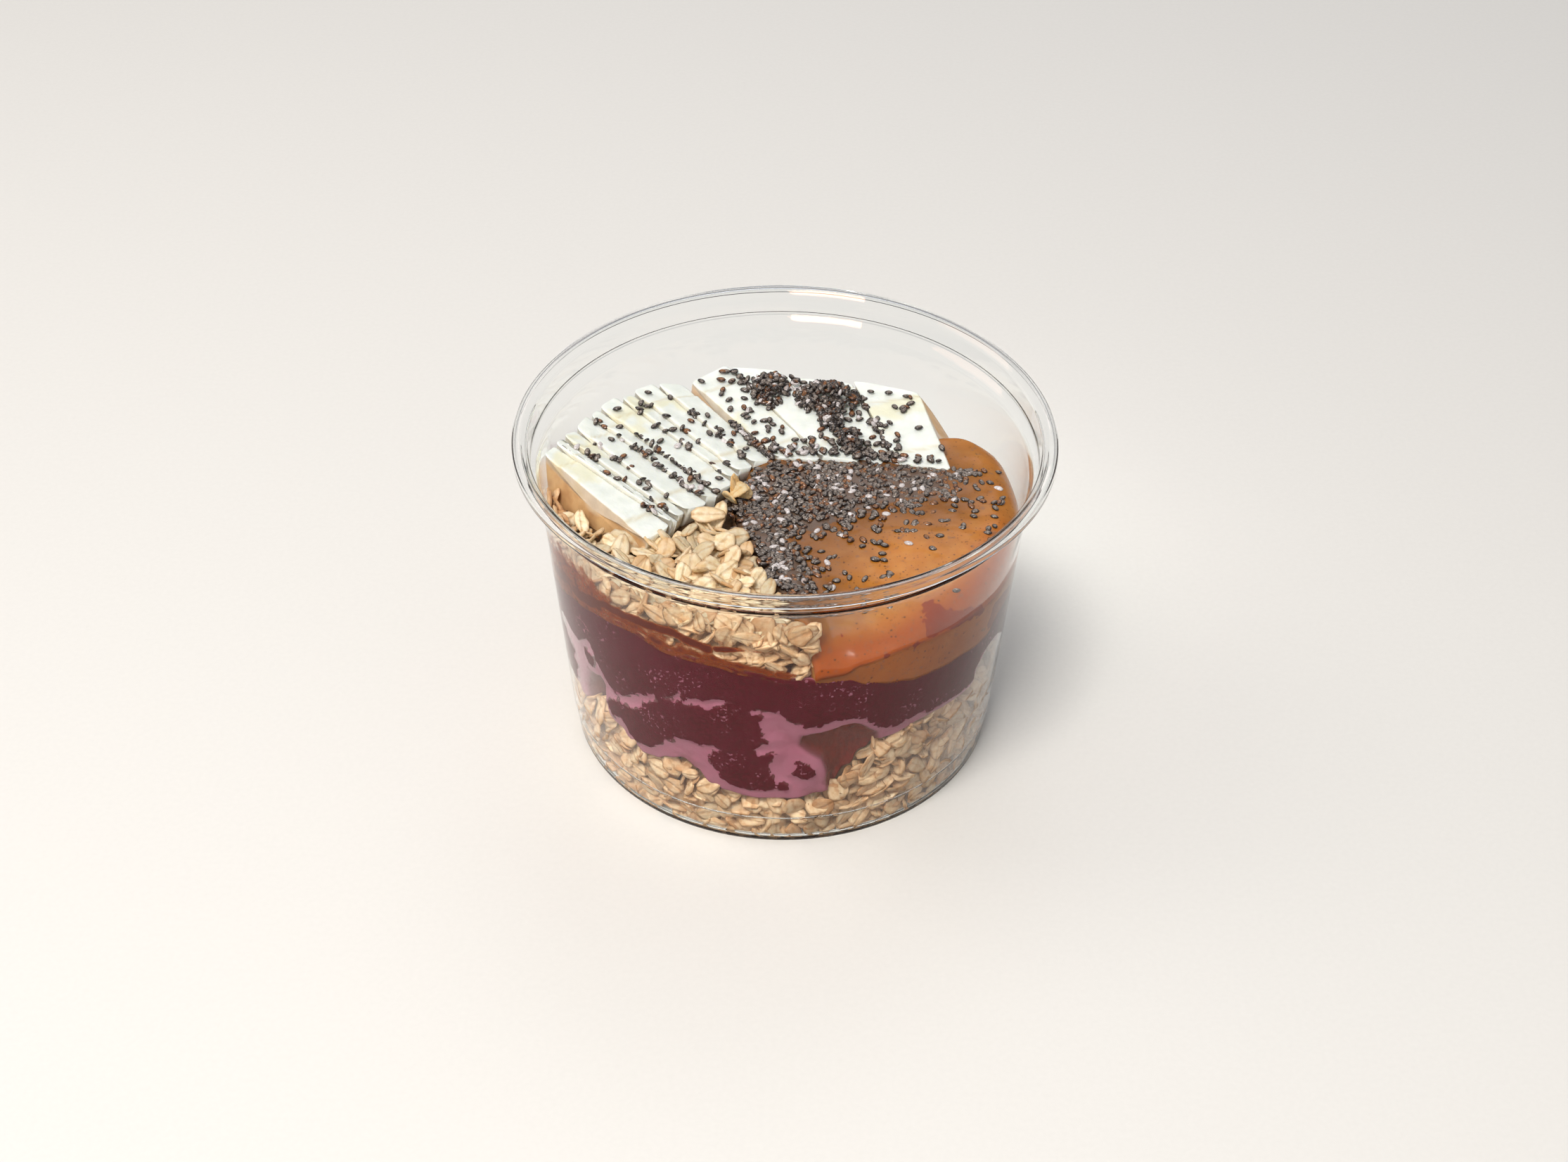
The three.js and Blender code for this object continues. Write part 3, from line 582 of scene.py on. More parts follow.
def toppingHeight(x, y):
    radius = np.hypot(x, y)
    outward = np.clip(radius / innerRadius(toppingMiddle), 0, 1) ** 2
    return mix(toppingMiddle, valueAt(toppingTop, bearingOf(x, y)), outward)


# Distance inwards from the wall, at the height of the toppings
def fromWall(x, y):
    return innerRadius(toppingWall) - np.hypot(x, y)


def edgeAt(y):
    edge = np.array(oatEdge)[::-1]
    return np.interp(y, edge[:, 1], edge[:, 0])


# One rolled flake, 1 long, 1 wide and 1 thick: a slightly cupped oval with an uneven outline
def oatShape(name, rng):
    sides = oats["sides"]
    turns = np.arange(sides) * 2 * np.pi / sides
    ragged = 1 + np.array([rng.uniform(-0.2, 0.08) for _ in turns])
    broken = rng.choice((0.55, 0.8, 1.0, 1.0))
    rings = np.array([(0.62, 0.5), (0.93, 0.3), (1.0, -0.1), (0.8, -0.45)])
    bend, cup, twist = rng.uniform(-0.8, 1.4), rng.uniform(-0.2, 1.2), rng.uniform(-1.4, 1.4)
    narrowing, crooked = rng.uniform(0.0, 0.22), rng.uniform(-0.1, 0.1)
    share, height = rings[:, 0][None, :], rings[:, 1][None, :]
    x = 0.5 * share * (ragged * np.minimum(np.cos(turns), broken))[:, None]
    y = 0.5 * share * (ragged * np.sin(turns))[:, None] * (1 - narrowing * np.cos(turns)[:, None])
    roughness = np.array([[rng.uniform(-0.1, 0.1) for _ in rings] for _ in turns])
    z = height + roughness + 2 * bend * x ** 2 + 2 * cup * y ** 2 + 2 * twist * x * y
    points = np.vstack([np.stack([x, y, z], axis=-1).reshape(-1, 3), [(0, 0, 0.42), (0, 0, -0.5)]]) / mm
    rim = np.append(np.broadcast_to(share, x.shape).ravel(), [0, 0])
    across = np.append((y - crooked * x).ravel(), [0, 0])
    return makePiece(name, points, closedFaces(sides, len(rings)), None, {"rim": rim, "across": across})


shapeRandom = random.Random(oats["shapeSeed"])
oatShapes = shapeCollection("oatShapes", [oatShape(f"oatShape{i}", shapeRandom)
                                          for i in range(oats["variants"])])


# Keeps flakes inside the tub, pressed flat against its wall and floor
def insideTub(corners):
    floor = tub["floorTop"] - 0.05
    corners[:, 2] = np.maximum(corners[:, 2], floor)
    radius = np.hypot(corners[:, 0], corners[:, 1])
    most = innerRadius(corners[:, 2]) + oats["intoWall"]
    most -= 1.1 * np.clip(tub["floorTop"] + 1.1 - corners[:, 2], 0, 2)
    shrink = np.minimum(1, most / np.maximum(radius, 1e-6))
    corners[:, :2] *= shrink[:, None]
    return corners


def randomDirection(rng):
    return unit(np.array([rng.gauss(0, 1) for _ in range(3)]))


# Points at least the spacing apart, from as many random tries as it takes to fill the space
def spreadOut(tries, draw, spacing, rng):
    kept = np.empty((0, 3))
    for _ in range(tries):
        point = draw(rng)
        if point is None:
            continue
        if not len(kept) or np.min(np.sum((kept - point) ** 2, axis=1)) > spacing ** 2:
            kept = np.vstack([kept, point])
    return kept


# Flakes packed behind the wall between two heights: some lie flat on it, most lie tumbled
def flakesAtWall(bearings, low, high, rng, tries):
    spots = []
    for depth, spacing, flatShare in oats["wallLayers"]:

        def draw(rng):
            bearing = rng.uniform(*bearings)
            z = rng.uniform(float(low(bearing)), float(high(bearing)))
            return onBearing(bearing, innerRadius(z) - depth - rng.uniform(0, 0.6), z)

        for point in spreadOut(tries, draw, spacing, rng):
            outward = unit(np.array([point[0], point[1], 0.0]))
            if rng.random() < flatShare:
                facing = outward * rng.choice((-1, 1)) + 0.35 * randomDirection(rng)
            else:
                facing = np.array([0, 0, 0.6]) + 0.5 * outward + 0.7 * randomDirection(rng)
            spots.append((point, unit(facing), rng.uniform(0, 2 * np.pi), rng.uniform(0.78, 1.12)))
    return spots


# The rough body behind the flakes, from one height to the other, with its own middle height; it is dark
# with painted shade, so the gaps between the flakes look deep
def oatCore(name, bottom, middle, top, plan=None):
    bearings = np.arange(180) * 2.0
    tops, lows = top(bearings), bottom(bearings)
    rows = []
    for share in np.linspace(0.1, 1, 10):
        radius = (innerRadius(tops) - oats["coreInset"]) * share
        rows.append(onBearing(bearings, radius, mix(middle, tops - 1.2, share ** 2)))
    for share in np.linspace(0, 1, 9)[1:]:
        z = mix(tops - 1.2, lows, share)
        rows.append(onBearing(bearings, innerRadius(z) - oats["coreInset"] - 1.2 * (share == 1), z))
    for share in (0.7, 0.35):
        rows.append(onBearing(bearings, innerRadius(lows) * share, lows))
    grid = np.stack(rows, axis=1)
    if plan:
        grid = plan(grid)
    rough = bumps(grid, 2.4, seed=8)
    outward = grid[..., :2] / np.maximum(1, np.hypot(grid[..., 0], grid[..., 1]))[..., None]
    grid[..., :2] += outward * rough[..., None] * 0.8
    poles = [grid[:, 0].mean(axis=0), grid[:, -1].mean(axis=0)]
    return closedPiece(name, grid, poles, oatPaintedShade)


def makeLowerOats():
    rng = random.Random(oats["lowerSeed"])
    low = lambda bearing: tub["floorTop"] + 0.4
    high = lambda bearing: valueAt(lowerOatTop, bearing) - 2.2
    spots = flakesAtWall((0, 360), low, high, rng, oats["lowerTries"])
    flakes = scattered("lowerOatFlakes", spots, oatShapes, oats["flake"], oatFlake, insideTub)
    core = oatCore("lowerOatCore", lambda b: tub["floorTop"] + 0.1 + 0 * b, oats["middleHeight"],
                   lambda b: valueAt(lowerOatTop, b))
    print("lower flakes:", len(spots))
    for piece in (flakes, core):
        standsFor(piece, ["oats_bottom"])


makeLowerOats()
print("lower oats made")


# Plan of the upper oats that lie open, from the far left round to the peanut butter
openOats = [
    (-49, -3), (-45, -6.5), (-36.5, -15), (-31, -20), (-27, -17.5), (-23.5, -13), (-19.5, -9),
    (-16, -5), (-12.5, -6), (-10.5, -12), (-7, -20), (-3.5, -31), (1, -41), (4, -51), (-20, -48),
    (-40, -34), (-51, -12),
]


def makeUpperOats():
    rng = random.Random(oats["upperSeed"])
    low = lambda bearing: valueAt(acaiTopEdge, bearing) + 0.4
    high = lambda bearing: valueAt(toppingTop, bearing) + 1.2
    atWall = flakesAtWall((-98, 7.5), low, high, rng, oats["upperTries"])
    spots = []
    for depth, spacing in oats["topLayers"]:

        def draw(rng):
            x, y = rng.uniform(-51, 5), rng.uniform(-52, -2)
            if insideBy(openOats, x, y) < 1.4 or math.hypot(x, y) > innerRadius(62) - 1.8:
                return None
            return np.array([x, y, float(toppingHeight(x, y)) + 0.9 - depth + rng.uniform(-0.4, 0.4)])

        for point in spreadOut(oats["openTries"], draw, spacing, rng):
            facing = unit(np.array([0, 0, 1.1]) + 0.85 * randomDirection(rng))
            spots.append((point, facing, rng.uniform(0, 2 * np.pi), rng.uniform(0.8, 1.1)))
    wallFlakes = scattered("upperOatFlakes", atWall, oatShapes, oats["flake"], oatFlake, insideTub)
    openFlakes = scattered("openOatFlakes", spots, oatShapes, oats["flake"], oatOpenPaintedLight, insideTub)
    print("upper flakes:", len(atWall), "at the wall and", len(spots), "in the open")

    def besideButter(grid):
        grid[..., 0] = np.minimum(grid[..., 0], edgeAt(grid[..., 1]) - 0.5)
        grid[..., 1] = np.minimum(grid[..., 1], 8)
        return grid

    core = oatCore("upperOatCore", lambda b: valueAt(acaiTopEdge, b) - 1.5, toppingMiddle - 3,
                   lambda b: valueAt(toppingTop, b), besideButter)
    for piece in (wallFlakes, openFlakes, core):
        standsFor(piece, ["oats_top"])
    clump, clumpSpots = oats["clump"], []
    for _ in range(clump["flakes"]):
        point = np.array(clump["place"]) + clump["spread"] * randomDirection(rng) * (1, 1, 0.7)
        facing = unit(randomDirection(rng) + (0, -0.4, 0.5))
        clumpSpots.append((point, facing, rng.uniform(0, 6), clump["size"]))
    cluster = scattered("toastedCluster", clumpSpots, oatShapes, oats["flake"], oatToastedPaintedLight)
    standsFor(cluster, ["oat_cluster"])
    large = [(place, unit(np.array(facing)), spin, size)
             for place, facing, spin, size in oats["large"]]
    standsFor(scattered("largeFlakes", large, oatShapes, oats["flake"], oatOpenPaintedLight), ["oats_top"])


makeUpperOats()
print("upper oats made")


# The acai
acai = {
    "columns": 560, "wallRows": 72, "intoWall": 0.12, "middleTop": 47, "middleBottom": 22,
    # how far bare skin stands back at its edge and per mm inwards, and how deep a hollow goes
    "standsBack": (0.28, 0.14), "hollowDepth": 5, "hollowSlope": 2.6, "mostSink": 7,
}
# Where the puree stops touching the wall, as (bearing, height) from the back round by the left
touchEdge = [
    (-180, 31), (-150, 28.5), (-125, 30), (-100, 26), (-85, 23.5), (-75, 23), (-66.7, 22.7),
    (-62.9, 22.5), (-55.2, 26.4), (-49.5, 27), (-47.9, 24.1), (-45, 25.4), (-42.7, 24.2), (-42, 22.1),
    (-39.3, 21), (-36.6, 21.2), (-34.3, 21.7), (-31.1, 24.7), (-29.7, 26.6), (-28.1, 26.4),
    (-27.6, 27.8), (-25.3, 28.3), (-20, 28.2), (-17.1, 29), (-15.2, 28), (-16.8, 27.2), (-18.2, 25.1),
    (-17.7, 23.1), (-16.4, 21.4), (-15.4, 19.5), (-13.3, 17.8), (-11.6, 17.3), (-8.4, 16.7),
    (-3.6, 16.8), (-1.2, 17.6), (1.6, 16.7), (2.2, 17.8), (1.9, 19.1), (0.5, 19.8), (-1.2, 20),
    (-2.2, 21.4), (-2.9, 23.1), (-2.7, 25.7), (-1.4, 28.3), (-2.2, 29.1), (-3.6, 28.2), (-5.6, 28.2),
    (-6.6, 29.6), (-5.2, 30.6), (-4.6, 31.9), (-3.2, 31.3), (-2.9, 32), (-4.2, 33.2), (-4.7, 35.2),
    (-4.8, 38.1), (-4.2, 39.8), (-7.1, 40.9), (-5.5, 42.3), (-3.2, 41.5), (-0.4, 41.4), (0.3, 40),
    (1.9, 38.7), (4.5, 38), (5.2, 36.6), (9.7, 36.5), (10, 37.3), (13.3, 37.6), (17.3, 37.6),
    (20.5, 36.8), (21.6, 35.2), (24, 33.2), (28.6, 31.6), (31.8, 32.2), (35.6, 32.9), (39.1, 31.4),
    (46.1, 31.5), (50.8, 30.9), (54, 30.7), (56.2, 31.5), (56.1, 34.1), (58, 35.9), (60.5, 37.7),
    (63.8, 38), (68.3, 37), (74, 33), (80, 31), (110, 33), (150, 29.5), (180, 31),
]
# Bare patches above that edge: the left strands and the streaks that run on from them
barePatches = [
    [(-76.4, 36.8), (-72.8, 36.8), (-69.1, 36.2), (-67.5, 33.8), (-63.8, 33.2), (-65.3, 30.5),
     (-63.8, 29.5), (-64.5, 26.6), (-66.7, 21), (-55, 20), (-49.3, 28.1), (-46.2, 30.5), (-46.2, 32.9),
     (-48.1, 34.2), (-50, 35.9), (-51.3, 37.4), (-52.3, 38.4), (-53, 40.4), (-53.9, 41.8),
     (-55.3, 42.5), (-60.3, 38.8), (-62.8, 38.8), (-65.2, 39), (-67.9, 39.9), (-71, 39.6)],
    [(-48, 31.2), (-46.4, 31.7), (-43.2, 33), (-40.2, 34.7), (-36.8, 36.8), (-34.2, 37.7), (-32.2, 39.2),
     (-31.4, 37.8), (-29.9, 37.7), (-33.1, 36.5), (-35.8, 34.7), (-37.3, 32.9), (-38.6, 31.3),
     (-41, 30.8), (-42.6, 31.1), (-46.8, 29.9)],
    [(-29.7, 39.1), (-27.3, 40.5), (-25, 42.4), (-24.4, 40.6), (-26, 39.2), (-27.8, 39.3)],
    [(-24.3, 38.9), (-22.7, 41.7), (-21, 42.1), (-18.6, 41.8), (-16.5, 43), (-14.8, 43.4), (-13.2, 43.2),
     (-14.2, 41.5), (-17.3, 40.3), (-20.4, 40.3)],
]
# Spots that touch the wall below that edge or within a bare patch
touchSpots = [
    [(3.9, 26.4), (6.5, 25.1), (8.6, 23.2), (8.6, 21.5), (7.3, 20.3), (4.9, 21), (2.5, 22.1), (3.3, 24.5)],
    [(-57.6, 39), (-54, 39), (-52.6, 37), (-54, 34.9), (-56.2, 35.1), (-57.5, 36.6)],
]
# Deep hollows, where the puree sags away from the wall
deepHollows = [
    [(5, 33.6), (8, 34.2), (12.1, 34.6), (15, 35.6), (18, 35.8), (20.5, 34.6), (25, 31), (26, 26),
     (20, 18), (13, 14), (11.5, 17), (11.2, 21.6), (9.8, 25.2), (7.1, 27.2), (4.2, 30)],
    [(-59.2, 31.1), (-62.4, 24), (-62, 18), (-50, 20), (-50.2, 27), (-50.6, 32), (-52, 33.6),
     (-54.2, 32.4), (-57.1, 31.6)],
    [(57.2, 30), (57.6, 34), (59.4, 36), (62, 37), (66, 37.2), (71, 35.4), (75, 31), (77, 25), (60, 24)],
]
acaiBottomEdge = [
    (-180, 25), (-150, 24), (-120, 23), (-85, 20), (-75, 20), (-63, 20.5), (-50, 23), (-45, 21.5),
    (-41, 19.6), (-38, 18.2), (-34, 18.6), (-30, 20.5), (-26, 21.6), (-22, 19.5), (-18, 16.2),
    (-15, 15.2), (-5, 14.2), (4, 14.2), (11, 15.2), (14, 16.4), (18, 19.2), (22.4, 24.2), (26, 28.8),
    (40, 30.4), (55, 29.6), (66, 29), (90, 30), (130, 27.5),
]
arcPerDegree = np.pi / 180 * 50    # mm along a wall of 50 mm radius


def inArc(outline):
    return [(bearing * arcPerDegree, z) for bearing, z in outline]


# How far inside the touching area each point of the wall is, and how far the puree sinks there
def acaiWall(bearing, z):
    arc = ((bearing + 180) % 360 - 180) * arcPerDegree
    whole = [(-240, 31), *touchEdge, (240, 31), (240, 90), (-240, 90)]
    touch = insideBy(inArc(whole), arc, z)
    for patch in barePatches:
        touch = np.minimum(touch, -insideBy(inArc(patch), arc, z))
    for spot in touchSpots:
        touch = np.maximum(touch, insideBy(inArc(spot), arc, z))
    atEdge, perInward = acai["standsBack"]
    sink = atEdge + perInward * np.clip(-touch, 0, 30)
    for hollow in deepHollows:
        deep = np.clip(insideBy(inArc(hollow), arc, z), 0, 30)
        sink = sink + acai["hollowDepth"] * (1 - np.exp(-deep / acai["hollowSlope"]))
    return touch, np.minimum(np.where(touch > 0, 0, sink), acai["mostSink"])


def makeAcai():
    columns = acai["columns"]
    bearings = np.arange(columns) * 360 / columns - 180
    ragged = bumps(onBearing(bearings, 50.0, 0.0), 3.0, seed=2) * 0.5
    top = valueAt(acaiTopEdge, bearings) + ragged
    bottom = valueAt(acaiBottomEdge, bearings)
    rows, touches, sinks = [], [], []

    def addRow(radius, z, touch, sink):
        rows.append(onBearing(bearings, radius, z))
        touches.append(np.broadcast_to(touch, bearings.shape))
        sinks.append(np.broadcast_to(sink, bearings.shape))

    for share in np.linspace(0.08, 0.97, 12):
        addRow(innerRadius(top) * share, mix(acai["middleTop"], top, share ** 5), -1, 0.5)
    addRow(innerRadius(top) - 0.35, top, -1, 0.5)
    for share in np.linspace(0, 1, acai["wallRows"]):
        z = mix(top - 0.35, bottom, share)
        touch, sink = acaiWall(bearings, z)
        addRow(innerRadius(z) + acai["intoWall"] - sink, z, touch, sink)
    lastRadius = np.hypot(rows[-1][:, 0], rows[-1][:, 1])
    for share, drop in ((0.97, 0.5), (0.85, 1.0), (0.6, 0.6), (0.3, 0)):
        addRow(lastRadius * share, mix(acai["middleBottom"], bottom - drop, share ** 2), -2, 4)
    grid = np.stack(rows, axis=1)
    sink, touch = np.stack(sinks, axis=1), np.stack(touches, axis=1)
    lumps = bumps(grid, 3.5, seed=5, octaves=3) * np.clip(sink, 0, 1.5) * 0.35
    outward = grid[..., :2] / np.hypot(grid[..., 0], grid[..., 1])[..., None]
    grid[..., :2] += outward * lumps[..., None] * (grid[..., 2] < top[:, None])[..., None]
    poles = [(0, 0, acai["middleTop"]), (0, 0, acai["middleBottom"])]
    return closedPiece("acaiPuree", grid, poles, acaiPuree, {"touch": touch, "sink": sink})


standsFor(makeAcai(), ["acai"])


# The melted film over the upper oats: dark streaks, a thinner stain and a seam along the puree
melt = {
    "from": -82, "to": 6, "columns": 360, "rows": 60, "thickness": 0.08, "intoWall": 0.2,
    "seam": 1.1, "headroom": 3,
}
meltTop = [
    (-82, 55), (-74, 61), (-66, 65), (-58, 66), (-50, 65.6), (-44, 63.4), (-38, 61.6), (-30, 60.4),
    (-20, 59), (-10, 57), (6, 55),
]
meltStain = [(-82, 0.66), (-60, 0.76), (-48, 0.68), (-40, 0.52), (-30, 0.42), (-12, 0.32), (6, 0.0)]
# Streaks as (half thickness, strength, points)
meltStreaks = [
    (2.0, 1.2, [(-70, 52.8), (-66, 54), (-61.7, 55.8), (-57, 55), (-53, 55.8), (-48, 57)]),
    (1.2, 1.2, [(-50, 57), (-43.8, 58.7), (-39, 58.9), (-34.6, 59.4), (-25.1, 60), (-21, 58.8),
                (-17, 57.9)]),
    (0.75, 1.15, [(-14.8, 58.4), (-11, 59), (-7.6, 59.8), (-5, 59.6), (-1, 59.4)]),
    (0.5, 0.95, [(-66, 57), (-60, 60.6), (-55, 61.8), (-50.5, 60.4), (-52, 58), (-57, 57.4), (-61, 56)]),
]


def makeMelt():
    bearings = np.linspace(melt["from"], melt["to"], melt["columns"])
    tops = (np.interp(bearings, *zip(*meltTop)) + melt["headroom"])[:, None]
    edges = valueAt(acaiTopEdge, bearings)[:, None]
    z = mix(edges - 1.5, tops, np.linspace(0, 1, melt["rows"])[None, :])
    ends = np.clip((bearings - melt["from"]) / 16, 0, 1) * np.clip((melt["to"] - bearings) / 6, 0, 1)
    stain = np.interp(bearings, *zip(*meltStain))[:, None]
    stain = stain * np.clip((tops - melt["headroom"] - z) / 5, 0, 1)
    smeared = np.maximum(stain, 0.8 * np.exp(-((z - 0.9 - edges) / melt["seam"]) ** 2))
    arc = np.broadcast_to((bearings * arcPerDegree)[:, None], z.shape)
    for half, strength, streak in meltStreaks:
        line = inArc(streak)
        nearest = np.min([lineDistance(arc, z, *a, *b) for a, b in zip(line, line[1:])], axis=0)
        smeared = np.maximum(smeared, strength * np.exp(-(nearest / half) ** 4))
    smeared *= ends[:, None] * np.clip((tops - z) / 1.2, 0, 1)
    outer, inner = (onBearing(bearings[:, None], innerRadius(z) + melt["intoWall"] - inwards, z)
                    for inwards in (0, melt["thickness"]))
    columns, rows = z.shape
    points = np.vstack([outer.reshape(-1, 3), inner.reshape(-1, 3)])
    here = (np.arange(columns - 1) * rows)[:, None] + np.arange(rows - 1)[None, :]
    front = np.stack([here, here + rows, here + rows + 1, here + 1], axis=-1).reshape(-1, 4)
    back = front[:, ::-1] + columns * rows
    loop = ([i * rows for i in range(columns)]
            + [(columns - 1) * rows + j for j in range(1, rows)]
            + [i * rows + rows - 1 for i in range(columns - 2, -1, -1)]
            + [j for j in range(rows - 2, 0, -1)])
    rim = [[b, a, a + columns * rows, b + columns * rows] for a, b in zip(loop, loop[1:] + loop[:1])]
    faces = front.tolist() + back.tolist() + rim
    return makePiece("acaiMelt", points, faces, acaiMelt, {"smeared": np.tile(smeared.ravel(), 2)})


standsFor(makeMelt(), [])
print("acai made")


# The peanut butter
butter = {
    "columns": 320, "rings": 46, "sideRows": 14, "centre": (18, -12), "intoWall": 0.12,
    "shoulder": 7.0, "edgeRounding": 3.0, "edgeFall": 2.6, "topHeight": 57, "middleHeight": 46,
    "lobe": (38, 9.6, 14.6),    # plan of the free end beside the banana: middle and radius
}
# Height of the crease where its shoulder leaves the wall
creaseHeight = [
    (-180, 55), (5, 50.6), (14, 51.5), (18, 53.6), (28, 55), (36, 54.8), (46, 54.4), (54, 53.6),
    (62, 53), (80, 53.5), (100, 54), (130, 54),
]
# Where it ends under the banana slices
butterBack = [(-9.5, 4), (-8, 12), (-2, 17), (8, 19), (20, 19), (30, 21)]
# Smears of acai along the shoulder, as (bearing, height) outlines; the last, low on the right, is partly
# painted shade on the side away from the lamps
butterStainsAndShade = [
    [(34.1, 55.4), (35.5, 58), (38.3, 59.6), (41.5, 59.4), (44, 57.9), (49, 56.8), (53, 55.2), (56, 52.6),
     (54, 51.6), (50.3, 52.8), (46, 53.6), (41, 54.4), (35.5, 55)],
    [(29, 54.5), (31.7, 55.2), (34.6, 55.3), (35.1, 54.5), (32.2, 54.3), (29.4, 54.1)],
    [(22.7, 54.1), (24, 54.8), (25.9, 54.7), (25.5, 54.1), (24.1, 53.7)],
    [(12.9, 59), (14.1, 59.1), (15.5, 57.7), (16.1, 56.9), (14.8, 57.6), (13.4, 58.3)],
    [(58, 44), (60, 51), (66, 50.5), (74, 48), (76, 44), (68, 42)],
]
# Where the seeds lie close together on it
denseSeeds = [
    (-12.4, -2), (-9.5, 3.6), (-7, 8), (-2.4, 12.5), (7.5, 13.6), (18.1, 13), (33.1, 11), (35.9, 6.4),
    (35.1, -0.2), (27.2, -1.6), (20.3, -3), (13.3, -8), (7.5, -11.4), (2.6, -12.4), (0.7, -14.7),
    (3.6, -22.4), (5.5, -31.5), (3, -40), (-1.5, -36), (-4, -30.9), (-6.5, -17.9), (-10.4, -8.5),
]


# Its top: level with the toppings, with a rounded shoulder down to the crease at the wall
def butterHeight(x, y):
    x, y = np.asarray(x, float), np.asarray(y, float)
    top = toppingHeight(x, y)
    toWall = np.clip(fromWall(x, y) / butter["shoulder"], 0, 1)
    crease = valueAt(creaseHeight, bearingOf(x, y))
    low = np.minimum(crease, top)
    return low + (top - low) * np.sqrt(np.clip(1 - (1 - toWall) ** 2, 0, 1))


# How far it reaches from its middle in each direction, and where that is to the wall
def butterReach(directions, z):
    cx, cy = butter["centre"]
    dx, dy = np.sin(directions), -np.cos(directions)
    # the wall
    radius = innerRadius(z) + butter["intoWall"]
    along = dx * cx + dy * cy
    reach = -along + np.sqrt(along ** 2 - cx ** 2 - cy ** 2 + radius ** 2)
    outline = [*oatEdge, (60, -60), (70, 10), (56, 18)]
    lx, ly, lobeRadius = butter["lobe"]
    for turn in np.linspace(20, 100, 9):
        outline.append((lx + lobeRadius * math.cos(math.radians(turn)),
                        ly + lobeRadius * math.sin(math.radians(turn))))
    outline += butterBack[::-1][:-1]
    free = np.full(directions.shape, farAway)
    corners = np.array(outline, float)
    for (ax, ay), (bx, by) in zip(corners, np.roll(corners, -1, axis=0)):
        ex, ey = bx - ax, by - ay
        cross = dx * ey - dy * ex
        cross = np.where(abs(cross) < 1e-9, 1e-9, cross)
        reached = ((ax - cx) * ey - (ay - cy) * ex) / cross
        share = ((ax - cx) * dy - (ay - cy) * dx) / cross
        hit = (reached > 0) & (share >= -1e-6) & (share <= 1 + 1e-6)
        free = np.where(hit, np.minimum(free, reached), free)
    kernel = np.array([1, 2, 3, 2, 1]) / 9
    free = np.convolve(np.concatenate([free[-2:], free, free[:2]]), kernel, "valid")
    return np.minimum(reach, free), reach <= free


def makeButter():
    columns = butter["columns"]
    directions = np.arange(columns) * 2 * np.pi / columns
    cx, cy = butter["centre"]
    dx, dy = np.sin(directions), -np.cos(directions)
    reach, atWall = butterReach(directions, butter["topHeight"])
    rows, contactsAndShade = [], []
    for share in 1 - (1 - np.linspace(0.02, 1, butter["rings"])) ** 1.6:
        x, y = cx + dx * reach * share, cy + dy * reach * share
        toEdge = np.clip(reach * (1 - share) / butter["edgeRounding"], 0, 1)
        fall = butter["edgeFall"] * (1 - np.sqrt(np.clip(1 - (1 - toEdge) ** 2, 0, 1)))
        rows.append(np.stack([x, y, butterHeight(x, y) - np.where(atWall, 0, fall)], axis=-1))
        toWall = fromWall(x, y) / butter["shoulder"]
        # the shoulder near the wall gets painted shade; the side that touches the wall below is darker for
        # real
        contactsAndShade.append(np.clip(1.35 - toWall, 0, 1) * np.clip((88 - bearingOf(x, y)) / 20, 0, 1))
    edgeTop = rows[-1][:, 2]
    bearings = bearingOf(rows[-1][:, 0], rows[-1][:, 1])
    low = np.minimum(valueAt(acaiTopEdge, bearings) - 0.6, edgeTop - 1)
    for share in np.linspace(0, 1, butter["sideRows"])[1:]:
        z = mix(edgeTop, low, share)
        sideReach, _ = butterReach(directions, z)
        rows.append(np.stack([cx + dx * sideReach, cy + dy * sideReach, z], axis=-1))
        contactsAndShade.append(np.where(atWall, 0.6, 0.0))
    for share in (0.8, 0.4):
        rows.append(np.stack([cx + dx * reach * share, cy + dy * reach * share,
                              mix(butter["middleHeight"], low, share)], axis=-1))
        contactsAndShade.append(np.zeros(columns))
    grid = np.stack(rows, axis=1)
    wave = bumps(grid, 11, seed=3) * 0.45 + bumps(grid, 3.2, seed=9) * 0.1
    onTop = np.arange(grid.shape[1]) < butter["rings"] - 1
    grid[..., 2] += wave * onTop[None, :]
    arc = bearingOf(grid[..., 0], grid[..., 1]) * arcPerDegree
    stain = np.zeros(arc.shape)
    for outline in butterStainsAndShade:
        stain = np.maximum(stain, np.clip(0.4 + insideBy(inArc(outline), arc, grid[..., 2]), 0, 1))
    stain *= np.hypot(grid[..., 0], grid[..., 1]) > innerRadius(butter["topHeight"]) - 6
    seeded = np.where(grid[..., 2] > 56, insideBy(denseSeeds, grid[..., 0], grid[..., 1]), -20)
    poles = [(cx, cy, float(butterHeight(cx, cy))), (cx, cy, butter["middleHeight"])]
    return closedPiece("peanutButter", grid, poles, peanutButter,
                       {"contactAndShade": np.stack(contactsAndShade, axis=1), "stain": stain, "seeded": seeded})


standsFor(makeButter(), ["peanut_butter"])
print("peanut butter made")


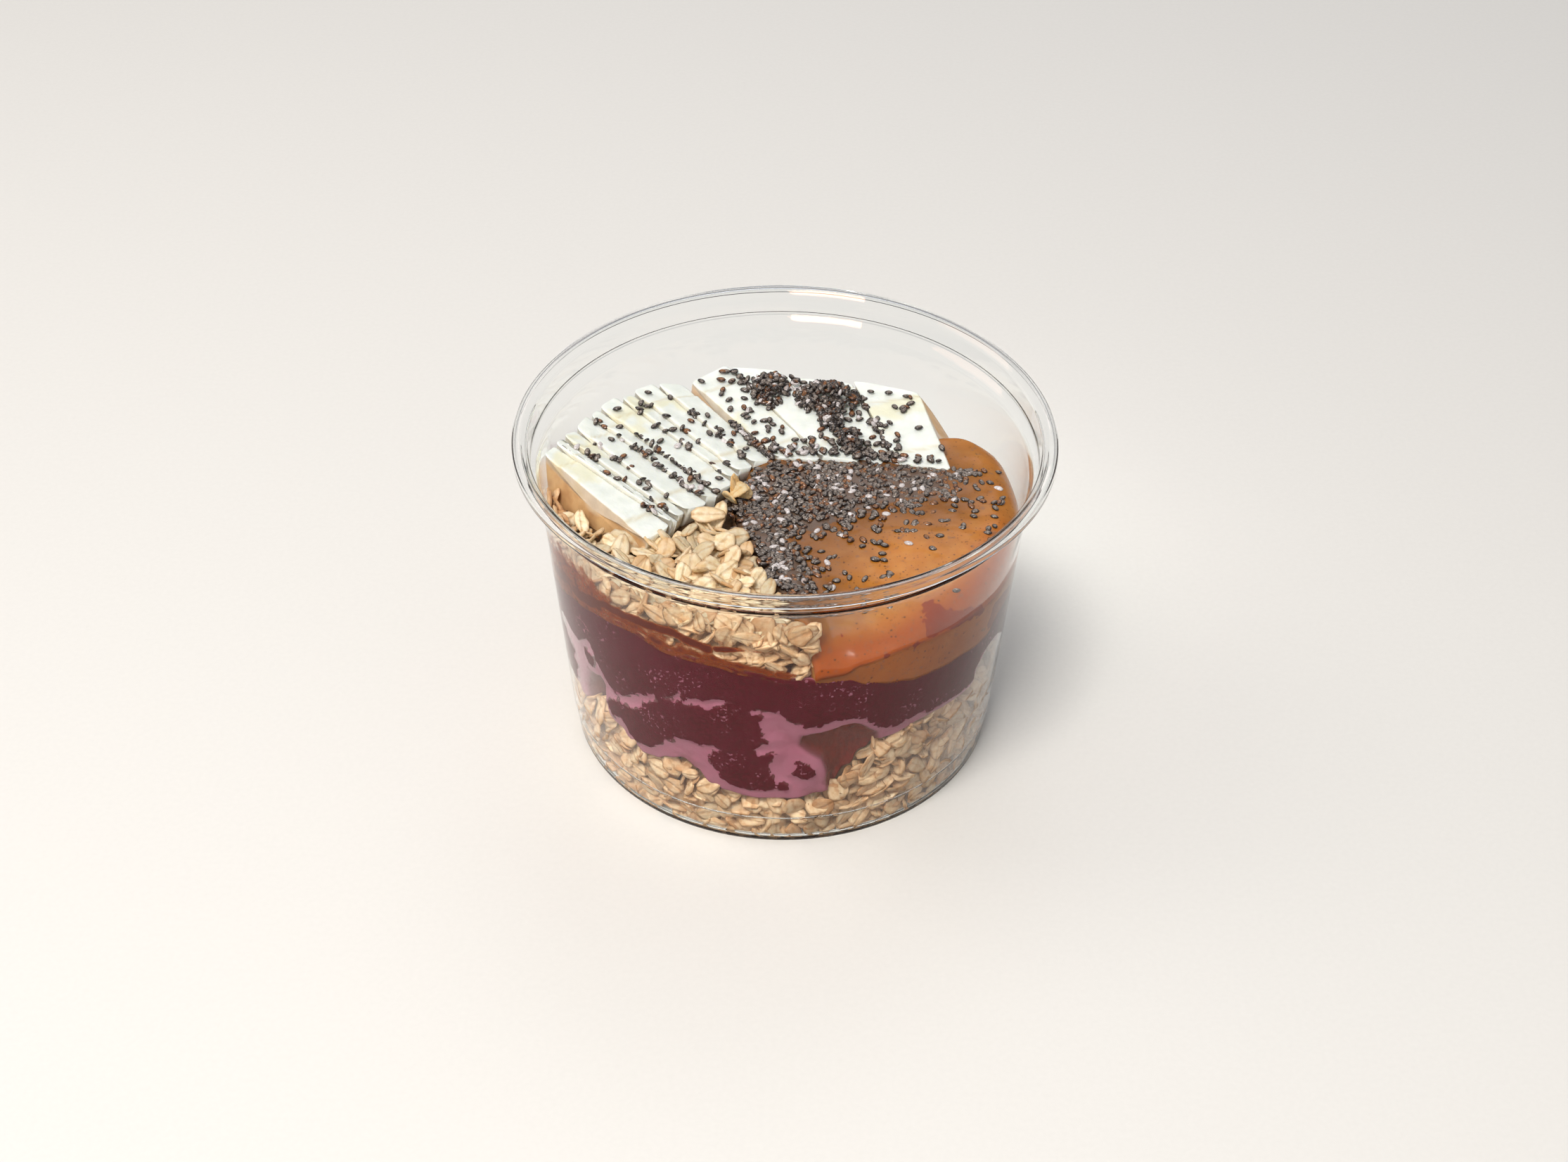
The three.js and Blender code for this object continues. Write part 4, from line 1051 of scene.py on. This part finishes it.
# The banana slices
banana = {
    "depth": 13, "lean": 2.5, "roundness": 0.85, "gap": 0.12, "outlineTop": 58, "outlineUnder": 34,
    "fanStep": 0.46, "corner": 0.45, "ringInset": 3.2, "ringDepth": 0.3, "ringWidth": 0.45,
    "endDrop": 0.4, "crown": 0.12,
    # where along a slice its core shows, as a share of its length
    "coreAt": {1: 0.2, 3: 0.1, 6: 0.14, 7: 0.12, 8: 0.12, 10: 0.5, 13: 0.3},
    # rows from the middle of a cut to the flat top: reach, inward scale, how much is cut
    "cutRows": [(0.0, 0.25, 1.0), (0.0, 0.5, 1.0), (0.0, 0.75, 1.0), (0.0, 0.92, 1.0),
                (0.0, 0.975, 0.9), (0.2, 0.99, 0.5), (0.6, 1.0, 0.0)],
    # how browned, partly as painted shade, the left and right cuts of a slice are; the others hardly are
    "browningAndShade": {1: (1.0, 0.5), 10: (0.8, 0.4), 13: (0.4, 1.0)},
}
# Cuts between slices: the far end, the near end and how much it leans sideways
leftFanCuts = [
    ((-51.9, 3.6, 66.3), (-30.6, -19.4, 63), -1), ((-50.6, 9.4, 66), (-24.3, -13.9, 62.5), -1),
    ((-49.4, 13.5, 65.5), (-22.6, -11.6, 62), -1), ((-47.4, 17.8, 65), (-20.8, -8.8, 61.5), -1),
    ((-44.6, 23.6, 64.4), (-17.2, -3.2, 61), -1), ((-42.6, 27.2, 64), (-14.6, -0.6, 60.8), -1),
    ((-39, 33, 63.6), (-11.6, 4.6, 60.6), -1), ((-35.8, 35.4, 63.2), (-10, 7.4, 60.5), -1),
    ((-30.2, 39.6, 62.4), (-7, 11, 60.4), -1), ((-24.6, 42.2, 61.6), (-2.9, 13.4, 60.2), -1),
]
rightFanCuts = [
    ((-23.6, 43, 62.6), (-1.9, 13.9, 61), -0.8), ((-13.8, 49.3, 61.4), (8.2, 13.6, 60.6), 0),
    ((-1.5, 46.6, 61.4), (17, 12, 60.4), 0.6), ((15.4, 43, 61.6), (24.8, 11.8, 60.6), 1.2),
    ((30.6, 39, 61.4), (37, 9.6, 60.8), 3.4),
]
# How far each slice's ends are pulled in: far left, far right, near left, near right
sliceEnds = {1: (-1.5, -0.5, -1.9, 0.0), 2: (-0.4, 0.0, 0.4, -0.3), 3: (0.0, 0.7, 0.5, 0.9),
             4: (0.8, -0.5, 0.7, -0.9), 5: (0.8, 0.1, 0.6, -0.9), 6: (0.4, 0.0, 0.3, -0.5),
             7: (2.0, 0.7, 0.9, -0.3), 8: (0.9, -0.6, 0.6, -0.2), 9: (0.6, 1.2, 0.4, 0.0),
             10: (2.5, -0.4, 0.3, -0.3), 11: (1.4, 0.2, 0.5, 0.0), 12: (1.2, 0.5, 0.4, 0.0),
             13: (0.3, 0.6, 0.0, -0.3)}
# How far the left and right edges of the right-hand slices stand up
rightSteps = [(-0.6, -0.3), (0.3, 0.5), (-0.5, -0.4), (0.4, 0.2)]
slices = [(left, right, banana["fanStep"], -banana["fanStep"])
          for left, right in zip(leftFanCuts, leftFanCuts[1:])]
slices += [(left, right, *steps)
           for left, right, steps in zip(rightFanCuts, rightFanCuts[1:], rightSteps)]


# Half-moon outline of one cut: along the flat top from far to near, then back round the underside
def halfMoon(cut, step, pulledFar, pulledNear):
    far, near, lean = np.array(cut[0], float), np.array(cut[1], float), cut[2]
    towards = unit(near - far)
    far, near = far + towards * pulledFar, near - towards * pulledNear
    middle, half = (far + near) / 2, (near - far) / 2
    across = unit(np.array([-half[1], half[0], 0]))
    down = across * lean * banana["lean"] / banana["depth"] + np.array([0, 0, -1.0])
    u = np.cos(np.pi * (1 - np.linspace(0, 1, banana["outlineTop"])))
    u = np.sign(u) * np.abs(u) ** 0.8
    top = middle + half * u[:, None]
    top[:, 2] += step
    turn = np.linspace(0, np.pi, banana["outlineUnder"] + 2)[1:-1]
    under = (middle + half * np.cos(turn)[:, None]
             + down * (banana["depth"] * np.sin(turn) ** banana["roundness"])[:, None])
    return np.vstack([top, under])


# A slice between two cuts; they are browned and carry painted shade, and its flat top has a ring inside
# the skin
def makeSlice(number, left, right, leftStep, rightStep):
    farLeft, farRight, nearLeft, nearRight = sliceEnds[number]
    leftLoop = halfMoon(left, leftStep, farLeft, nearLeft)
    rightLoop = halfMoon(right, rightStep, farRight, nearRight)
    count, tops = len(leftLoop), banana["outlineTop"]
    leftMiddle, rightMiddle = leftLoop.mean(axis=0), rightLoop.mean(axis=0)
    rows, cuts = [], []

    def addRow(share, inward, cut):
        loop = mix(leftLoop, rightLoop, 0.5 + (share - 0.5) * rounded[:, None])
        middle = mix(leftMiddle, rightMiddle, share)
        rows.append(middle + (loop - middle) * np.array([inward, inward, inward ** 1.4]))
        cuts.append(np.full(count, cut))

    breadth = np.linalg.norm((leftLoop - rightLoop).mean(axis=0))
    skin = banana["gap"] / breadth
    # the ends are rounded in plan
    ends = (leftLoop + rightLoop) / 2
    along = (ends - ends[0]) @ unit(ends[tops - 1] - ends[0])
    toEnd = np.clip(np.minimum(along, along[tops - 1] - along) / banana["corner"], 0, 1)
    rounded = 1 - 2 * banana["corner"] / breadth * (1 - np.sqrt(1 - (1 - toEnd) ** 2))
    for reach, inward, cut in banana["cutRows"]:
        addRow(skin + reach / breadth, inward, cut)
    for share in np.linspace(0.2, 0.8, 5):
        addRow(share, 1.0, 0.0)
    for reach, inward, cut in banana["cutRows"][::-1]:
        addRow(1 - skin - reach / breadth, inward, cut)
    grid = np.stack(rows, axis=1)
    cut = np.stack(cuts, axis=1)
    # relief of the flat top: the ring, a lower end and a slight crown
    far, near = grid[0].mean(axis=0), grid[tops - 1].mean(axis=0)
    length = np.linalg.norm(near - far)
    along = (grid - far) @ unit(near - far)
    toEnd = np.minimum(along, length - along)
    ragged = bumps(grid, 2.2, seed=number + 20) * 0.35
    ring = np.exp(-((toEnd + ragged - banana["ringInset"]) / banana["ringWidth"]) ** 2)
    endStep = np.clip((banana["ringInset"] - toEnd - ragged) / 0.6, 0, 1)
    onTop = np.zeros(grid.shape[:2])
    onTop[:tops] = 1
    relief = -banana["ringDepth"] * ring - banana["endDrop"] * endStep
    relief += banana["crown"] * np.cos(along / length * np.pi * 2)
    relief += bumps(grid, 1.3, seed=number + 50) * 0.09 + bumps(grid, 4.0, seed=number + 70) * 0.12
    grid[..., 2] += relief * onTop
    grid[..., 2] += bumps(grid, 2.6, seed=number + 90) * 0.15 * (1 - onTop)
    coreAt = banana["coreAt"].get(number, -1)
    fromCore = np.abs(along / length - coreAt + 0.3 * bumps(grid, 5, seed=number))
    core = np.clip(1 - fromCore / 0.2, 0, 1) * onTop
    # browning on the cuts and the underside, which also paints their shade
    cut = np.maximum(np.where(cut == 1, 0.6, 0.45 * cut) * onTop, (1 - onTop) * np.maximum(cut, 0.5))
    last = grid.shape[1] - 1
    cut = cut * np.interp(np.arange(last + 1), (0, last), banana["browningAndShade"].get(number, (0.5, 0.5)))
    poles = [grid[:, 0].mean(axis=0), grid[:, -1].mean(axis=0)]
    return closedPiece(f"bananaSlice{number:02d}", grid, poles, bananaFlesh,
                       {"core": core, "cut": cut, "ring": ring * onTop}, flip=True)


for number, (left, right, leftStep, rightStep) in enumerate(slices, start=1):
    standsFor(makeSlice(number, left, right, leftStep, rightStep), [f"banana_{number:02d}"])
print("banana slices made")


# The chia seeds
chia = {
    "seed": {"length": 2.15, "width": 1.38, "thickness": 0.85, "unevenness": 0.1, "seed": 41},
    "massCount": 1200, "sparseCount": 230, "feetCount": 90, "sliceSeed": 61, "butterSeed": 67,
    "endGroup": (39.6, 8.2, 16),    # a few at the free end of the peanut butter: middle and count
    "sides": 9, "ringSizes": (0.42, 0.8, 1.0, 0.8, 0.42), "ringHeights": (0.9, 0.56, 0.0, -0.56, -0.9),
    "looseOnSlice": (0, 2, 3, 3, 6, 5, 5, 4, 5, 34, 4, 20, 15),
}


# One seed, 1 long, 1 wide and 1 thick: a smooth oval that is more or less pointed at one end
def chiaShape(name, blunt):
    rings = np.array(chia["ringSizes"])
    turns = (np.arange(chia["sides"]) * 2 * np.pi / chia["sides"])[:, None]
    pointed = 1 - blunt * np.cos(turns)
    z = np.broadcast_to(0.5 * np.array(chia["ringHeights"]), (len(turns), len(rings)))
    grid = np.stack([0.5 * rings * np.cos(turns), 0.5 * rings * np.sin(turns) * pointed, z], axis=-1) / mm
    points = np.vstack([grid.reshape(-1, 3), np.array([(0, 0, 0.5), (0, 0, -0.5)]) / mm])
    # the crown, where the painted highlight goes: 1 at the poles, 0 round the middle
    crown = np.append(np.broadcast_to(1 - rings, z.shape).ravel(), [1, 1])
    return makePiece(name, points, closedFaces(*z.shape), None, {"crown": crown})


seedShapes = shapeCollection("seedShapes", [chiaShape(f"seedShape{i}", 0.08 * i) for i in range(3)])


def seedSpot(point, rng, tilt=0.35, size=1.0):
    facing = unit(np.array([0, 0, 1.0]) + tilt * randomDirection(rng))
    return (np.array(point, float), facing, rng.uniform(0, 2 * np.pi), size * rng.uniform(0.88, 1.1))


# Point on a slice's flat face: lengthwise from its far end, crosswise from its left cut
def onFace(piece, lengthwise, crosswise):
    left, right, leftStep, rightStep = piece
    leftPoint = mix(np.array(left[0], float), np.array(left[1], float), lengthwise)
    rightPoint = mix(np.array(right[0], float), np.array(right[1], float), lengthwise)
    point = mix(leftPoint, rightPoint, crosswise)
    point[2] += mix(leftStep, rightStep, crosswise)
    return point


# Lines of seeds in the valleys between slices: (slice at the left, from, to, count)
valleyLines = [
    (1, 0.75, 0.97, 6), (2, 0.1, 0.9, 9), (3, 0.15, 0.95, 9), (4, 0.08, 0.98, 30), (5, 0.3, 0.98, 24),
    (6, 0.2, 0.98, 10), (7, 0.2, 1.0, 8), (8, 0.15, 0.9, 24), (9, 0.55, 1.0, 52), (10, 0.05, 0.5, 34),
    (11, 0.1, 1.0, 84), (12, 0.15, 1.0, 34),
]
# Mounds of seeds: middle, half sizes, height, count
seedMounds = [((-3.4, 38.6), (4.6, 6.0), 2.8, 120), ((9.4, 35.0), (7.6, 6.2), 3.2, 210),
              ((10.6, 26.4), (2.6, 4.6), 1.8, 60), ((14.6, 19.0), (2.6, 4.6), 1.4, 46)]


def makeSliceSeeds():
    rng = random.Random(chia["sliceSeed"])
    spots = []
    for number, piece in enumerate(slices, start=1):
        for _ in range(chia["looseOnSlice"][number - 1]):
            point = onFace(piece, rng.uniform(0.06, 0.96), rng.uniform(0.12, 0.88))
            spots.append(seedSpot(point + (0, 0, 0.42), rng, tilt=0.12))
    for number, start, end, count in valleyLines:
        piece = slices[number - 1]
        for _ in range(count):
            t = start + (end - start) * rng.random() ** 0.85
            point = onFace(piece, t, 1.0 + rng.gauss(0, 0.05))
            point[2] += rng.uniform(0.1, 0.9)
            spots.append(seedSpot(point, rng, tilt=0.8))
    for (mx, my), (wide, deep), height, count in seedMounds:
        for _ in range(count):
            turn, share = rng.uniform(0, 2 * np.pi), math.sqrt(rng.random())
            point = (mx + wide * share * math.cos(turn), my + deep * share * math.sin(turn),
                     61.3 + height * (1 - share ** 2) * rng.random() ** 0.35 + 0.3)
            spots.append(seedSpot(point, rng, tilt=1.2))
    # seeds on the feet of the right-hand slices
    for _ in range(chia["feetCount"]):
        t = 1 - 0.16 * abs(rng.gauss(0, 0.7))
        piece = slices[rng.choice((9, 9, 10, 10, 11, 11, 12))]
        spots.append(seedSpot(onFace(piece, t, rng.random()) + (0, 0, 0.45), rng, tilt=0.4))
    return scattered("chiaOnBanana", spots, seedShapes, chia["seed"], chiaCoat)


standsFor(makeSliceSeeds(), [f"banana_{n:02d}" for n in range(1, 14)])


def makeButterSeeds():
    rng = random.Random(chia["butterSeed"])
    spots = []
    while len(spots) < chia["massCount"]:
        x, y = rng.uniform(-13, 37), rng.uniform(-42, 14)
        depth = float(insideBy(denseSeeds, x, y))
        if depth < rng.gauss(-0.3, 0.9):
            continue
        if rng.random() > 0.65 + 0.1 * depth + 0.006 * y:
            continue
        z = float(butterHeight(x, y)) + rng.uniform(-0.3, 0.2)
        spots.append(seedSpot((x, y, z), rng, tilt=0.45))
    while len(spots) < chia["massCount"] + chia["sparseCount"]:
        x, y = rng.uniform(0, 48), rng.uniform(-38, 10)
        depth = float(insideBy(denseSeeds, x, y))
        if depth > 0 or rng.random() > math.exp(depth / 8) or fromWall(x, y) < 3:
            continue
        z = float(butterHeight(x, y)) + 0.1
        spots.append(seedSpot((x, y, z), rng, tilt=0.25))
    groupX, groupY, count = chia["endGroup"]
    for _ in range(count):
        x, y = groupX + rng.gauss(0, 1.4), groupY + rng.gauss(0, 1.2)
        spots.append(seedSpot((x, y, float(butterHeight(x, y)) + 0.1), rng, tilt=0.3))
    return scattered("chiaOnPeanutButter", spots, seedShapes, chia["seed"], chiaCoat)


standsFor(makeButterSeeds(), ["peanut_butter"])
print("chia seeds made")

# the single flakes and seeds that were scattered aren't shown themselves
for group in (oatShapes, seedShapes):
    for shape in list(group.objects):
        bpy.data.objects.remove(shape)
    bpy.data.collections.remove(group)


# Matt paper with a fine fibre, so that it is pale and throws no reflections
def paperSurface(add, place):
    fibre = add("TexNoise", {"Vector": place, "Scale": 1 / (1.2 * mm), "Detail": 2})
    colour = add("Mix", {0: fibre, 6: "#e9e6e1", 7: "#e4e1dc"}, 2, data_type="RGBA")
    return add("BsdfPrincipled", {"Base Color": colour, "Roughness": 0.6})


floorHalf = 4000
floorCorners = [(x * floorHalf, y * floorHalf, 0) for x, y in ((-1, -1), (1, -1), (1, 1), (-1, 1))]
paper = makeMaterial("paleMattPaper", paperSurface, ())
makePiece("studioFloor", floorCorners, [[0, 1, 2, 3]], paper)

lamps = [
    # name, place, size, power, colour
    ("keySoftbox", (-232, -514, 965), (420, 250), 9.2, "#fffbf6"),
    ("leftSoftbox", (-820, 160, 620), (500, 500), 2.0, "#fff8f0"),
    ("backSoftbox", (120, 760, 820), (620, 300), 1.3, "#f6f8ff"),
]
target = Vector((0, 0, 40)) * mm
for name, place, size, power, colour in lamps:
    light = bpy.data.lights.new(name, "AREA")
    light.shape = "RECTANGLE"
    light.size, light.size_y = size[0] * mm, size[1] * mm
    light.energy = power
    light.color = hexColour(colour)[:3]
    lamp = bpy.data.objects.new(name, light)
    lamp.location = Vector(place) * mm
    lamp.rotation_euler = (target - lamp.location).to_track_quat("-Z", "Y").to_euler()
    bpy.context.scene.collection.objects.link(lamp)


# The room: dim near the horizon and brighter overhead, so the clear edges are drawn in grey
def makeRoom():
    world = bpy.data.worlds.new("studioRoom")
    add = startNodes(world)
    height = add("SeparateXYZ", {0: add("TexCoord", gives=0)}, 2)
    strength = add("MapRange", {0: height, 1: 0.1, 2: 0.9, 3: 0.3, 4: 0.55})
    air = add("Background", {"Color": "#e9ebee", "Strength": strength})
    add("OutputWorld", {"Surface": air}, None)
    bpy.context.scene.world = world


makeRoom()

camera = {"lens": 56, "sensor": 36, "target": (0.169, 0, 35.641), "elevation": 38.757,
          "distance": 551.4, "roll": 0.734}


def makeCamera():
    data = bpy.data.cameras.new("studioCamera")
    data.lens, data.sensor_width = camera["lens"], camera["sensor"]
    data.clip_start, data.clip_end = 0.01, 50
    down, roll = math.radians(camera["elevation"]), math.radians(camera["roll"])
    forward = Vector((0, math.cos(down), -math.sin(down)))
    right = Vector((1, 0, 0))
    up = right.cross(forward)
    rolledUp = up * math.cos(roll) - right * math.sin(roll)
    rolledRight = right * math.cos(roll) + up * math.sin(roll)
    eye = bpy.data.objects.new("studioCamera", data)
    eye.rotation_euler = Matrix((rolledRight, rolledUp, -forward)).transposed().to_euler()
    eye.location = (Vector(camera["target"]) - forward * camera["distance"]) * mm
    bpy.context.scene.collection.objects.link(eye)
    bpy.context.scene.camera = eye


makeCamera()
bpy.context.scene.view_settings.view_transform = "Standard"
print("floor, lights and camera made")
